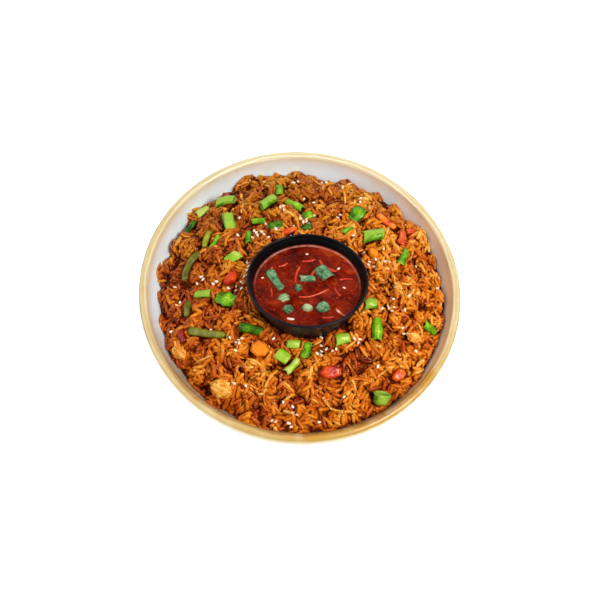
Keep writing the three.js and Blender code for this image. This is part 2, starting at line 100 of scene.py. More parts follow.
def new_material(name, **shader_values):
    """Material with one Principled BSDF; its sockets are named with _ for spaces."""
    material = bpy.data.materials.new(name)
    material.use_nodes = True
    tree = material.node_tree
    shader = tree.nodes["Principled BSDF"]
    for socket, value in shader_values.items():
        shader.inputs[socket.replace("_", " ")].default_value = value
    return material, tree, shader


room = bpy.data.worlds.new("room")
room.use_nodes = True
room.node_tree.nodes["Background"].inputs["Color"].default_value = ROOM_COLOR
room.node_tree.nodes["Background"].inputs["Strength"].default_value = ROOM_STRENGTH
bpy.context.scene.world = room


def add_light(name, place, size, power, color):
    """Square soft light at a place in metres, turned towards the bowl."""
    data = bpy.data.lights.new(name, "AREA")
    data.size = size
    data.energy = power
    data.color = color
    light = bpy.data.objects.new(name, data)
    bpy.context.collection.objects.link(light)
    light.location = place
    light.rotation_mode = "QUATERNION"
    light.rotation_quaternion = (LIGHTS_AIM - Vector(place)).to_track_quat("-Z", "Y")


add_light("window", (0.48, -0.22, 0.80), 0.32, 6.6, (1.0, 0.98, 0.96))
add_light("bright_wall", (-0.75, -0.15, 0.55), 0.9, 3.6, (0.93, 0.97, 1.0))
add_light("far_wall", (0.1, 0.95, 0.5), 0.9, 2.2, (0.94, 0.97, 1.0))

table_data = bpy.data.meshes.new("table")
corners = [(x * TABLE_HALF, y * TABLE_HALF, 0) for x, y in ((-1, -1), (1, -1), (1, 1), (-1, 1))]
table_data.from_pydata(corners, [], [(0, 1, 2, 3)])
table = bpy.data.objects.new("table", table_data)
bpy.context.collection.objects.link(table)
table_material, _, _ = new_material(
    "white table", Base_Color=(0.9, 0.9, 0.9, 1), Roughness=0.7, Emission_Color=(1, 1, 1, 1),
    Emission_Strength=TABLE_GLOW)
table_data.materials.append(table_material)

# ---- The bowl ---------------------------------------------------------------------------------
# Wheel-thrown stoneware: a thick wall, a rounded lip and a low foot ring. It is dipped in a pale
# cream glaze, the lip once more in ochre, and iron in the clay burns through as brown specks.

BOWL_HEIGHT, BOWL_FLOOR = 58, 8
MOUTH_RADIUS = 99.9
BOWL_WALL, RIM_BAND = 5.25, 1.6
RIM_BAND_AT, RIM_BAND_REACH = 0.11, 0.08
LIP_HEIGHT = 2.2
WALL_ROUNDNESS = 2.4
WALL_TAPER = 0.14
FOOT_OUTER, FOOT_INNER, FOOT_RECESS = 48, 40, 2.2
BOWL_SIDES = 192

# Glaze by the way in mm over the top of the lip, from outside (below zero) to inside. The painted
# shade line of the outer edge, the painted shade of the near inner lip and the inner wall begin
# and end at parts of that way.
GLAZE_FROM, GLAZE_TO = -16, 12
OUTER_SHADE_LINE_STARTS, OUTER_SHADE_LINE_ENDS = (0.36, 0.4), (0.465, 0.505)
NEAR_LIP_SHADE_STARTS, INNER_WALL_STARTS = (0.575, 0.6), (0.66, 0.72)
# Both ramps hold painted light on the rounded lip as well as glaze colour: the light line at 1.4 mm is a
# painted highlight, and the darker tones near -3 mm and at 2.4 mm are painted shade.
PALE_SIDE = [
    (-16, (214, 208, 184)), (-8, (220, 210, 170)), (-5, (222, 208, 156)), (-3, (214, 196, 140)),
    (-1, (234, 216, 164)), (0.4, (222, 200, 146)), (1.4, (246, 238, 206)), (2.4, (222, 202, 148)),
    (3.4, (240, 226, 196)), (5.6, (244, 236, 222)), (9, (238, 244, 246)), (12, (236, 250, 254)),
]
OCHRE_SIDE = [
    (-16, (212, 202, 168)), (-10, (212, 194, 138)), (-6, (206, 174, 98)), (-3.4, (198, 152, 56)),
    (-1, (194, 140, 26)), (0.4, (184, 130, 28)), (1.4, (210, 164, 66)), (2.4, (172, 120, 34)),
    (3.6, (212, 172, 108)), (5.6, (240, 216, 176)), (9, (240, 238, 230)), (12, (236, 248, 252)),
]
CREAM, SPECK, BARE_CLAY = srgb(236, 224, 190), srgb(96, 56, 22), srgb(176, 140, 104)
# Olive of the painted shade line along the outer edge of the lip.
OLIVE_EDGE_SHADE = srgb(120, 114, 62)
# Tints of painted light: shade on the near inner lip, and shade with light thrown back from the rice on the
# wall beside it.
NEAR_LIP_SHADE_TINT, RICE_BOUNCE_SHADE = (0.58, 0.42, 0.26, 1), (1.0, 0.8, 0.6, 1)


def wall_radius(z):
    """Inside radius at height z: a rounded curve from the mouth to the floor, leaning out."""
    t = np.clip((BOWL_HEIGHT - z) / (BOWL_HEIGHT - BOWL_FLOOR), 0, 1)
    lean = WALL_TAPER * (BOWL_HEIGHT - z) * (1 - t)
    return MOUTH_RADIUS * np.sqrt(1 - t**WALL_ROUNDNESS) - lean


def inside_curve(part):
    """Radius and height on the inside, from the rim (0) to the middle of the floor (1)."""
    depth = np.sin(part * np.pi / 2) ** (2 / WALL_ROUNDNESS)
    z = BOWL_HEIGHT - (BOWL_HEIGHT - BOWL_FLOOR) * depth
    return np.stack([wall_radius(z), z], axis=-1)


def outside_curve(part):
    """The inside curve carried out square to itself by the wall, thicker under the rim."""
    step = 0.002
    wall = BOWL_WALL + RIM_BAND * np.exp(-(((part - RIM_BAND_AT) / RIM_BAND_REACH) ** 2))
    along = inside_curve(part + step) - inside_curve(part - step)
    along /= np.linalg.norm(along, axis=-1, keepdims=True)
    square = np.stack([-along[..., 1], along[..., 0]], axis=-1)
    return inside_curve(part) + square * wall[..., None]


def grid_quads(rows, columns, wrap_rows=False, wrap_columns=False):
    """Corner numbers of the quads of a grid of points; a wrapped direction closes on itself."""
    r = np.arange(rows if wrap_rows else rows - 1)[:, None]
    c = np.arange(columns if wrap_columns else columns - 1)[None, :]
    r2 = (r + 1) % rows
    c2 = (c + 1) % columns
    corners = [r * columns + c, r * columns + c2, r2 * columns + c2, r2 * columns + c]
    return np.stack(corners, axis=-1).reshape(-1, 4)


def closed_body(rings, start, end):
    """Skin through rings of points (rings, points, 3), drawn together in one point at each end."""
    rows, columns = rings.shape[:2]
    points = np.concatenate([rings.reshape(-1, 3), [start], [end]])
    here = np.arange(columns)
    after = (here + 1) % columns
    last = (rows - 1) * columns
    first_fan = np.stack([np.full(columns, rows * columns), after, here], axis=-1)
    last_fan = np.stack([np.full(columns, rows * columns + 1), last + here, last + after], axis=-1)
    return points, [grid_quads(rows, columns, wrap_columns=True), first_fan, last_fan]


def make_piece(name, points, faces, material, nodes):
    """Mesh object from points in mm and arrays of faces, turned outwards by its signed volume."""
    first = [points[face] for face in faces]
    volume = sum(
        np.einsum("ij,ij->", f[:, 0], np.cross(f[:, k], f[:, k + 1]))
        for f in first for k in range(1, f.shape[1] - 1)
    )
    if volume < 0:
        faces = [face[:, ::-1] for face in faces]
    corners = np.concatenate([face.ravel() for face in faces]).astype(np.int32)
    sizes = np.concatenate([np.full(len(face), face.shape[1]) for face in faces])
    mesh = bpy.data.meshes.new(name)
    mesh.vertices.add(len(points))
    mesh.vertices.foreach_set("co", (points * MM).astype(np.float32).ravel())
    mesh.loops.add(len(corners))
    mesh.loops.foreach_set("vertex_index", corners)
    mesh.polygons.add(len(sizes))
    mesh.polygons.foreach_set("loop_start", (np.cumsum(sizes) - sizes).astype(np.int32))
    mesh.update(calc_edges=True)
    mesh.shade_smooth()
    mesh.materials.append(material)
    piece = bpy.data.objects.new(name, mesh)
    bpy.context.collection.objects.link(piece)
    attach(piece, "root")
    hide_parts(*nodes)
    return piece


def mark(piece, name, values):
    """Number at each point of a piece, which its material reads by name."""
    layer = piece.data.attributes.new(name, "FLOAT", "POINT")
    layer.data.foreach_set("value", np.asarray(values, np.float32).ravel())


def circle(sides):
    """Angles in radians of evenly spaced sides, once round."""
    return np.arange(sides) / sides * 2 * np.pi


def polar(radius, angle, z):
    """Points from a radius, an angle and a height: x goes with its cosine and y with its sine."""
    return np.stack(np.broadcast_arrays(radius * np.cos(angle), radius * np.sin(angle), z), axis=-1)


def turn(profile, sides):
    """Rings of a profile of (radius, height) turned about the upright axis."""
    return polar(profile[:, :1], circle(sides), profile[:, 1:])


def ramp(tree, factor, stops):
    """Colour ramp through stops of a position and a display colour."""
    node = add(tree, "ShaderNodeValToRGB", {"Fac": factor})
    elements = node.color_ramp.elements
    while len(elements) < len(stops):
        elements.new(0.5)
    for element, (position, color) in zip(elements, stops):
        element.position = position
        element.color = srgb(*color)
    return node.outputs["Color"]


def blend(tree, factor, first, second, kind="MIX"):
    """Second colour over the first by a factor, or by another blend kind."""
    node = add(tree, "ShaderNodeMix", data_type="RGBA", blend_type=kind)
    for socket, value in zip((node.inputs[0], node.inputs[6], node.inputs[7]), (factor, first, second)):
        if isinstance(value, bpy.types.NodeSocket):
            tree.links.new(value, socket)
        else:
            socket.default_value = value
    return node.outputs[2]


def noise(tree, scale, detail=3.0, rough=0.55, distortion=0.0, vector=None):
    """Noise over the piece's own object coordinates, in cycles per metre."""
    vector = vector or add(tree, "ShaderNodeTexCoord").outputs["Object"]
    values = {"Vector": vector, "Scale": scale, "Detail": detail, "Roughness": rough}
    return add(tree, "ShaderNodeTexNoise", {**values, "Distortion": distortion}).outputs["Fac"]


def map_to(tree, value, low, high, to_low, to_high):
    """Value carried from one range to another and held at its ends."""
    values = {"Value": value, "From Min": low, "From Max": high, "To Min": to_low, "To Max": to_high}
    return add(tree, "ShaderNodeMapRange", values).outputs["Result"]


def mottle(tree, low, high, scale, detail=3.0, rough=0.55):
    """Number that drifts between two values over the piece, by noise."""
    return map_to(tree, noise(tree, scale, detail, rough), 0.3, 0.7, low, high)


def attribute(tree, name):
    """Number that mark() put at the piece's points."""
    return add(tree, "ShaderNodeAttribute", attribute_name=name).outputs["Fac"]


def math_node(tree, operation, first, second=0.0):
    """One step of arithmetic between two numbers or sockets."""
    return add(tree, "ShaderNodeMath", {0: first, 1: second}, operation=operation).outputs[0]


def bump(tree, height, distance, strength=1.0):
    """Normal raised by a height over a distance in metres."""
    values = {"Height": height, "Strength": strength, "Distance": distance}
    return add(tree, "ShaderNodeBump", values).outputs["Normal"]


def feed(tree, shader, **outputs):
    """Links outputs to the shader's sockets, named with _ for spaces."""
    for socket, output in outputs.items():
        tree.links.new(output, shader.inputs[socket.replace("_", " ")])


def glaze_material():
    """Glaze whose colour follows the way over the lip, ochre on one side and pale on the other.

    From outside in: a pale outer wall, a thin olive-tan edge painted as shade on the curve of the
    lip, the golden band with a light line that is a painted highlight and a darker line of painted
    shade at its inner edge, and the cool white of the inner wall. The inner side of the near lip is
    darkened as painted shade, and on the right the wall beside the rice is darkened and warmed as
    painted shade and painted light thrown back from the rice. Iron specks lie all over it.
    """
    material, tree, shader = new_material(
        "stoneware glaze", IOR=1.5, Coat_Weight=0.1, Coat_Roughness=0.12)
    way = math_node(tree, "ADD", attribute(tree, "way"), mottle(tree, -0.8, 0.8, 38, 4, 0.6))
    way = map_to(tree, way, GLAZE_FROM, GLAZE_TO, 0, 1)
    span = GLAZE_TO - GLAZE_FROM
    pale = ramp(tree, way, [((at - GLAZE_FROM) / span, color) for at, color in PALE_SIDE])
    warm = ramp(tree, way, [((at - GLAZE_FROM) / span, color) for at, color in OCHRE_SIDE])
    share = math_node(tree, "ADD", attribute(tree, "ochre"), mottle(tree, -0.16, 0.16, 24))
    color = blend(tree, share, pale, warm)
    near = attribute(tree, "front")
    fade = map_to(tree, near, 0, 1, 1, 0.1)
    # Painted shade: a thin olive line along the outer edge of the lip, fainter on the near side.
    line = math_node(tree, "MULTIPLY", map_to(tree, way, *OUTER_SHADE_LINE_ENDS, 0.9, 0), fade)
    line = math_node(tree, "MULTIPLY", line, map_to(tree, way, *OUTER_SHADE_LINE_STARTS, 0, 1))
    color = blend(tree, line, color, OLIVE_EDGE_SHADE)
    # Painted shade: the inner side of the near lip darkened.
    near_lip_shade_mask = math_node(tree, "MULTIPLY", near, map_to(tree, way, *NEAR_LIP_SHADE_STARTS, 0, 1))
    color = blend(tree, near_lip_shade_mask, color, NEAR_LIP_SHADE_TINT, "MULTIPLY")
    streak = map_to(tree, noise(tree, 110, 4), 0.5, 0.75, 0, 0.28)
    color = blend(tree, streak, color, CREAM)
    place = add(tree, "ShaderNodeTexCoord").outputs["Object"]
    cells = add(tree, "ShaderNodeTexVoronoi", {"Vector": place, "Scale": 170.0})
    apart = add(tree, "ShaderNodeSeparateColor", {"Color": cells.outputs["Color"]})
    size = map_to(tree, apart.outputs["Red"], 0.7, 1.0, 0.0, 0.09)
    speck = math_node(tree, "SUBTRACT", size, cells.outputs["Distance"])
    color = blend(tree, map_to(tree, speck, 0.0, 0.03, 0, 0.8), color, SPECK)
    bare = attribute(tree, "bare")
    color = blend(tree, bare, color, BARE_CLAY)
    # Painted shade and painted light thrown back from the rice: the inner wall on the right darkened and
    # warmed.
    inner = math_node(
        tree, "MULTIPLY", attribute(tree, "painted_rice_bounce"), map_to(tree, way, *INNER_WALL_STARTS, 0, 1))
    color = blend(tree, inner, color, RICE_BOUNCE_SHADE, "MULTIPLY")
    rough = math_node(
        tree, "ADD", mottle(tree, 0.28, 0.42, 90), math_node(tree, "MULTIPLY", bare, 0.5))
    ripple = bump(tree, noise(tree, 120, 2), 0.0006, 0.35)
    feed(tree, shader, Base_Color=color, Roughness=rough, Normal=ripple)
    return material


def make_bowl():
    """Profile from the underside, over the foot, the outside and the lip, to the inside floor."""
    lip_part, outside_end, inside_end = 0.015, 0.66, 0.985
    way_ends = [-18, 14]
    inner, outer = inside_curve(np.array(lip_part)), outside_curve(np.array(lip_part))
    middle, half = (inner[0] + outer[0]) / 2, (outer[0] - inner[0]) / 2
    turns = np.radians(np.linspace(0, 180, 19))
    lip = np.stack([middle + half * np.cos(turns), inner[1] + LIP_HEIGHT * np.sin(turns)], axis=-1)
    foot = np.array([
        [14, FOOT_RECESS], [30, FOOT_RECESS], [FOOT_INNER - 2.4, FOOT_RECESS], [FOOT_INNER - 1, 1.6],
        [FOOT_INNER - 0.2, 0.3], [FOOT_INNER + 0.4, 0], [FOOT_OUTER - 1.5, 0], [FOOT_OUTER - 0.4, 0.4],
        [FOOT_OUTER, 1.3], [FOOT_OUTER + 0.3, 3.5], [FOOT_OUTER + 0.8, 5.6],
    ])
    outside = outside_curve(np.linspace(outside_end, lip_part + 0.012, 40))
    inside = inside_curve(np.linspace(lip_part + 0.01, inside_end, 48))
    profile = np.concatenate([foot, outside, lip, inside])
    run = np.concatenate([[0], np.cumsum(np.linalg.norm(np.diff(profile, axis=0), axis=1))])
    lip_top = len(foot) + len(outside) + len(lip) // 2
    way = np.clip(run - run[lip_top], *way_ends)
    bare = np.clip((1.6 - profile[:, 1]) / 0.8, 0, 1) * (profile[:, 0] > FOOT_INNER - 3)
    points, faces = closed_body(turn(profile, BOWL_SIDES), [0, 0, FOOT_RECESS], [0, 0, BOWL_FLOOR])
    bowl = make_piece("glazed_bowl", points, faces, glaze_material(), ["bowl"])
    for name, values, ends in (("way", way, way_ends), ("bare", bare, [0, 0])):
        mark(bowl, name, np.concatenate([np.repeat(values, BOWL_SIDES), ends]))
    side = np.degrees(np.arctan2(points[:, 1], points[:, 0]))

    def around(middle, width):
        """One at an angle in degrees round the bowl, falling to nothing within the width."""
        return np.exp(-(((side - middle + 180) % 360 - 180) / width) ** 2)

    more = 0.32 * around(270, 30) + 0.85 * around(312, 28)
    mark(bowl, "ochre", 0.33 - 0.33 * around(95, 45) + more)
    # The near side, where the inner lip gets its painted shade and the painted shade line of the outer edge
    # fades.
    mark(bowl, "front", np.clip((-np.sin(np.radians(side + 4)) - 0.35) / 0.4, 0, 1))
    # The right side, where the inner wall beside the rice gets its painted shade and painted bounce light.
    mark(bowl, "painted_rice_bounce", around(355, 52))


make_bowl()

# ---- The bed of the rice ----------------------------------------------------------------------
# The heap below its top grains, packed and wet with sauce, its cracks and dips darkened by painted
# shade. It fills the bowl from the floor up and stays some grains lower than the heap's top, so
# that loose grains can lie on it.

EDGE_HEIGHT, EDGE_TILT, EDGE_HIGH_SIDE = 43.6, 2.5, math.radians(-15)
CROWN_HEIGHT, CROWN_POWER = 66, 3.6
WALL_GAP = 0.95

# The bed lies below the heap by the top layer and by its depth less its rise.
TOP_LAYER = 1.8
BED_DEPTH, BED_RISE = 1.4, 1.0
BED_SIDES, BED_RINGS, BED_SIDE_RINGS = 460, 150, 22
WALL_TOUCH = 0.25
CLOD_SPACING, CLODS_MISSING = 11.5, 0.12
CLOD_LONG, CLOD_SHORT = 10, 6.6
CLOD_HIGH, CLOD_LOW, CRACK_DEPTH = 4.6, 3.2, 3.6

# Clumps and hollows, as in the solid heap: x, y, height (below zero for a hollow) and reach.
CLUMPS = [
    (-57, 58, 2.5, 10), (-80, 26, 3, 10), (-72, -48, 2.5, 8), (-42, -73, 3, 10), (7, -88, 2, 11),
    (-31, -60, 2, 9), (76, -10, 1.5, 11), (20, 70, 2, 12), (56, 30, 1.5, 9), (-46, 85, 7.5, 9),
    (-97, 5, 4.5, 7), (-82, 52, 4, 8), (80, 54, 3, 7), (97, 3, 1.5, 8), (80, -56, 2, 9),
    (-28, -93, 3.5, 6), (-50, -83, 4.5, 5), (-92, 30, 2, 5),
    (-50, -70, -3, 6), (-63, -59, -3, 6), (-36, -87, -2.5, 7), (26, -81, -3, 6), (69, -45, -3, 7),
    (58, -57, -2.5, 6), (43, -64, -2, 6), (86, 18, -3, 7), (65, 17, -2, 5), (14, 66, -2.5, 5),
    (-34, 64, -2.5, 7), (-42, 45, -2, 6), (-79, 11, -2.5, 6), (-72, -17, -2, 6), (-19, -67, -2.5, 6),
    (-30, -43, -2, 6), (76, -28, -2, 6), (33, 47, -2, 5), (8, 95, -8, 8), (38, 89, -2, 5),
    (69, 69, -3, 6), (-93, -25, -3, 13),
]

CUP_RADIUS, CUP_BASE_RADIUS, CUP_HEIGHT, CUP_WALL = 38.5, 26.5, 34, 1.5
CUP_LIP_STEP = 0.5
CUP_PLACE = np.array([3.7, -5.4, 77.5])
CUP_LEAN_BACK, CUP_LEAN_SIDE = math.radians(-13), math.radians(-3)


def turning(axis, angle):
    """Rotation matrix about X, Y or Z."""
    return np.array(Matrix.Rotation(angle, 3, axis))


cup_turn = turning("Y", CUP_LEAN_SIDE) @ turning("X", CUP_LEAN_BACK)


def cup_radius(z):
    """Outside radius of the cup at height z below its lip."""
    top = CUP_RADIUS - CUP_LIP_STEP
    return top + (top - CUP_BASE_RADIUS) * z / CUP_HEIGHT


def edge_height(angle):
    """Height at which the rice meets the wall, a little higher on one side."""
    return EDGE_HEIGHT + EDGE_TILT * np.cos(angle - EDGE_HIGH_SIDE)


def clump_rise(x, y):
    """How far the clumps and hollows lift or lower the heap."""
    rise = 0.0
    for clump_x, clump_y, height, reach in CLUMPS:
        rise = rise + height * np.exp(-((x - clump_x) ** 2 + (y - clump_y) ** 2) / reach**2)
    return rise


def heap_height(x, y):
    """Height of the heap: flat in the middle, steep at the edge, with clumps and hollows."""
    edge = edge_height(np.arctan2(y, x))
    part = np.minimum(1, np.hypot(x, y) / (wall_radius(edge) - WALL_GAP))
    return edge + (CROWN_HEIGHT - edge) * (1 - part**CROWN_POWER) + clump_rise(x, y)


random = np.random.default_rng(11)
clod_steps = np.arange(-9, 10)
clod_cells = np.stack(np.meshgrid(clod_steps, clod_steps, indexing="ij"), axis=-1).reshape(-1, 2)
clod_middles = (clod_cells + random.uniform(-0.45, 0.45, clod_cells.shape)) * CLOD_SPACING
clod_sizes = random.uniform(0.6, 1.3, len(clod_cells))
clod_sizes = clod_sizes * (random.random(len(clod_cells)) > CLODS_MISSING)
clod_turns = random.uniform(0, np.pi, len(clod_cells))


def swing(x, y, c, s):
    """Point turned by the angle that has the cosine c and the sine s."""
    return x * c - y * s, x * s + y * c


def clods(x, y):
    """Sticky rice breaks into clods with cracks between them: a flat-topped mound on each middle.

    The plan is bent by sines first, so that no clod is round.
    """
    rise = np.full(np.shape(x), -9.0)
    x_bent = x + 2.4 * np.sin(y / 3.7 + np.sin(x / 5)) + 0.8 * np.sin(y / 1.6 + 2)
    y_bent = y + 2.4 * np.sin(x / 4.1 + 2 * np.sin(y / 6)) + 0.8 * np.sin(x / 1.5)
    for (middle_x, middle_y), size, turned in zip(clod_middles, clod_sizes, clod_turns):
        u, v = swing(x_bent - middle_x, y_bent - middle_y, math.cos(turned), -math.sin(turned))
        away = (u / CLOD_LONG) ** 2 + (v / CLOD_SHORT) ** 2
        rise = np.maximum(rise, CLOD_HIGH * size - CLOD_LOW - (2.4 + 2.0 * size) * away**1.4)
    return np.maximum(rise, -CRACK_DEPTH) + 0.5 * np.sin(x / 1.9 + 2 * np.sin(y / 2.7)) * np.sin(y / 2.2)


def meeting_height(angle):
    """Height at which the heap with its clumps meets the wall, found by stepping to it."""
    z = edge_height(angle)
    for _ in range(5):
        radius = wall_radius(z) - WALL_GAP
        z = (z + heap_height(radius * np.cos(angle), radius * np.sin(angle))) / 2
    return z


def in_cup(x, y, z):
    """Points in the cup's own frame, from the middle of its lip."""
    return (np.stack([x, y, z], axis=-1) - CUP_PLACE) @ cup_turn


def from_cup(points):
    """Points of the cup's own frame, leant with it and put in place."""
    return points @ cup_turn.T + CUP_PLACE


def under_cup(x, y, gap):
    """Height of the cup's underside less a gap, found by stepping to it; high outside the cup."""
    z = np.full(np.shape(x), 60.0)
    for _ in range(30):
        local = in_cup(x, y, z)
        radius = np.hypot(local[..., 0], local[..., 1]) + gap
        slope = (CUP_RADIUS - CUP_LIP_STEP - CUP_BASE_RADIUS) / CUP_HEIGHT
        side = np.maximum(-CUP_HEIGHT, (radius - CUP_RADIUS + CUP_LIP_STEP) / slope)
        z = z + 0.4 * (side - local[..., 2])
    return z - gap


def rice_bed_material():
    """Wet, sauce-soaked rice seen only between the grains, darkened in cracks and dips by painted shade."""
    material, tree, shader = new_material(
        "soaked rice with painted shade", Roughness=0.55, Specular_IOR_Level=0.2, Specular_Tint=(1, 0.6, 0.35, 1))
    tone = map_to(tree, noise(tree, 420, 3), 0.35, 0.7, 0, 1)
    color = ramp(tree, tone, [(0, (124, 42, 2)), (0.5, (184, 84, 6)), (1, (222, 124, 26))])
    # Painted shade: darker by the depth mark, in the cracks between clods and in dips.
    color = blend(tree, attribute(tree, "depth"), color, srgb(78, 13, 0))
    feed(tree, shader, Base_Color=color, Normal=bump(tree, noise(tree, 500, 3), 0.0012))
    return material


def make_rice_bed():
    """Rings out to the wall at the lowered height, then down the inside of the bowl to its floor."""
    angle = circle(BED_SIDES)
    edge = meeting_height(angle) - TOP_LAYER
    reach = wall_radius(edge) - WALL_TOUCH
    part = np.linspace(0.01, 1, BED_RINGS)[:, None]
    x, y = part * reach * np.cos(angle), part * reach * np.sin(angle)
    sink = (BED_DEPTH - BED_RISE) * (1 - part**9)
    bumps = 0.5 * np.sin(x / 1.7 + 2 * np.sin(y / 3.1)) * np.sin(y / 1.9 + 2 * np.sin(x / 2.7))
    bumps = bumps + 0.5 * np.sin(x / 0.8 + 3 * np.sin(y / 2.3)) * np.sin(y / 0.9 + 3 * np.sin(x / 3.7))
    z = heap_height(x, y) - TOP_LAYER - sink + (bumps + clods(x, y)) * (1 - part**6)
    z = np.minimum(z, under_cup(x, y, 1.0))
    top = np.stack([x, y, z], axis=-1)
    low = BOWL_FLOOR + 0.3
    fall = np.linspace(0.04, 1, BED_SIDE_RINGS)[:, None]
    side_z = edge + (low + 0.6 - edge) * fall
    side = polar(np.maximum(wall_radius(side_z) - WALL_TOUCH, 2), angle, side_z)
    cup_z = float(under_cup(np.array(0.0), np.array(0.0), 1.0))
    middle_z = min(heap_height(0.0, 0.0) - BED_DEPTH, cup_z)
    points, faces = closed_body(np.concatenate([top, side]), [0, 0, middle_z], [0, 0, low])
    bed = make_piece("rice_bed", points, faces, rice_bed_material(), ["rice"])
    # Depth mark for the painted shade: deep in dips and in the cracks between clods.
    dips = np.concatenate([-bumps.ravel(), np.zeros(len(points) - bumps.size)])
    mark(bed, "depth", np.clip((0.2 + 0.7 * dips - clods(points[:, 0], points[:, 1])) / 2.4, 0.05, 1))


make_rice_bed()

# ---- The cup ----------------------------------------------------------------------------------
# A thin dip cup moulded in black plastic, half glossy, with a small rolled lip. It stands in a
# hollow of the heap and leans back, away from the viewer.

CUP_SIDES = 128
CUP_LIP_ROLL = 0.95


def cup_material():
    """Black plastic with a faint moulded grain and the dull film that hot sauce leaves, darker inside as
    painted shade.
    """
    material, tree, shader = new_material("black cup plastic", Specular_IOR_Level=0.14)
    tone = map_to(tree, noise(tree, 45, 3), 0.35, 0.7, 0, 1)
    color = blend(tree, tone, srgb(17, 14, 22), srgb(38, 32, 44))
    # Painted shade: darker on the inside of the cup.
    color = blend(tree, attribute(tree, "inside"), color, srgb(7, 6, 9))
    grain = bump(tree, noise(tree, 1500, 2), 0.0001, 0.25)
    feed(tree, shader, Base_Color=color, Roughness=mottle(tree, 0.22, 0.4, 160), Normal=grain)
    return material


def make_cup():
    """Profile from the base up the outside, over the lip and down the inside to the floor."""
    turns = np.radians(np.linspace(-60, 190, 12))
    roll = CUP_LIP_ROLL
    lip = np.stack([CUP_RADIUS - roll + roll * np.cos(turns), -roll + roll * np.sin(turns)], axis=-1)
    floor = -CUP_HEIGHT + CUP_WALL
    heights = np.linspace(-CUP_HEIGHT + 1, -2.6, 12)
    outside = np.stack([cup_radius(heights), heights], axis=-1)
    inside_heights = np.linspace(-2.2, floor + 0.8, 14)
    inside = np.stack([cup_radius(inside_heights) - CUP_WALL, inside_heights], axis=-1)
    base = np.array([[12, -CUP_HEIGHT], [CUP_BASE_RADIUS - 1, -CUP_HEIGHT]])
    bottom = np.array([[cup_radius(floor) - CUP_WALL - 0.8, floor], [10, floor]])
    profile = np.concatenate([base, outside, lip, inside, bottom])
    points, faces = closed_body(turn(profile, CUP_SIDES), [0, 0, -CUP_HEIGHT], [0, 0, floor])
    cup = make_piece(
        "black_cup", from_cup(points), faces, cup_material(), ["gravy_cup"])
    inside_from = len(base) + len(outside) + len(lip) // 2
    inner = (np.arange(len(profile)) > inside_from) + 0.0
    # Inside mark for the painted shade of the cup's hollow.
    mark(cup, "inside", np.concatenate([np.repeat(inner, CUP_SIDES), [0, 1]]))


make_cup()

# ---- The gravy --------------------------------------------------------------------------------
# Thick red chilli gravy, a few millimetres below the lip. It is lumpy with softened onion and
# carrot, glossy with oil, and climbs the cup's wall in a thin rim all round.

GRAVY_DEPTH = 7.2
GRAVY_SIDES, GRAVY_RINGS = 160, 64
GRAVY_OVERLAP = 0.3
RIM_CLIMB, RIM_CLIMB_REACH = 0.9, 0.7


def gravy_height(x, y):
    """Surface in the cup's frame: soft lumps that fade at the wall."""
    inside = 1 - np.minimum(1, np.hypot(x, y) / CUP_RADIUS) ** 4
    lumps = 0.3 * np.sin(x / 3.4 + 0.7) * np.cos(y / 2.9) + 0.3 * np.sin((x - y) / 5.2 + 2)
    return -GRAVY_DEPTH + lumps * inside


def gravy_material():
    """Deep red sauce, darker where thick, orange where oil and carrot come to the top, with a pale painted
    highlight along the back of its rim.
    """
    material, tree, shader = new_material(
        "red gravy", Specular_IOR_Level=0.1, Specular_Tint=(1, 0.45, 0.2, 1), Coat_Weight=0.02,
        Coat_Roughness=0.04)
    cloud = map_to(tree, noise(tree, 95, 4, distortion=0.8), 0.32, 0.68, 0, 1)
    color = ramp(tree, cloud, [
        (0, (68, 6, 2)), (0.45, (108, 14, 1)), (0.75, (132, 26, 1)), (1, (158, 50, 6)),
    ])
    fleck = map_to(tree, noise(tree, 520, 2), 0.62, 0.7, 0, 0.55)
    color = blend(tree, fleck, color, srgb(190, 70, 30))
    # Painted highlight: a pale line where the gravy climbs the back of the wall.
    color = blend(tree, attribute(tree, "film"), color, srgb(228, 160, 138))
    ripple = bump(tree, noise(tree, 260, 3), 0.0004, 0.3)
    feed(tree, shader, Base_Color=color, Roughness=mottle(tree, 0.1, 0.26, 210), Normal=ripple)
    return material


def make_gravy():
    """Rings out to just inside the cup's wall, where the surface climbs, then the side and base."""
    angle = circle(GRAVY_SIDES)
    part = np.linspace(0.015, 1, GRAVY_RINGS)[:, None]
    reach = cup_radius(-GRAVY_DEPTH) - CUP_WALL + GRAVY_OVERLAP
    x, y = part * reach * np.cos(angle), part * reach * np.sin(angle)
    fine = 0.16 * np.sin(x / 1.1 + 1.5 * np.sin(y / 1.7)) * np.cos(y / 1.3 + np.sin(x / 2.1))
    climb = RIM_CLIMB * np.exp(-(1 - part) * reach / RIM_CLIMB_REACH)
    z = gravy_height(x, y) + fine * (1 - part**8) + climb
    top = np.stack([x, y, z], axis=-1)
    floor = -CUP_HEIGHT + CUP_WALL - 0.2
    side_z = z[-1] + (floor - z[-1]) * np.linspace(0.06, 1, 9)[:, None]
    side = polar(cup_radius(side_z) - CUP_WALL + GRAVY_OVERLAP, angle, side_z)
    points, faces = closed_body(np.concatenate([top, side]), [0, 0, gravy_height(0, 0)], [0, 0, floor])
    gravy = make_piece("red_gravy", from_cup(points), faces, gravy_material(), ["gravy"])
    # Painted highlight along the rim, broken up and kept to the back half.
    broken = 0.75 + 0.25 * np.sin(23 * angle + 3 * np.sin(7 * angle))
    broken = np.clip(np.sin(angle) + 0.25, 0, 0.9) * broken
    meniscus_highlight = np.exp(-(((part - 0.975) * reach / 0.36) ** 2)) * broken
    mark(gravy, "film", np.concatenate([meniscus_highlight.ravel(), np.zeros(len(points) - meniscus_highlight.size)]))


make_gravy()

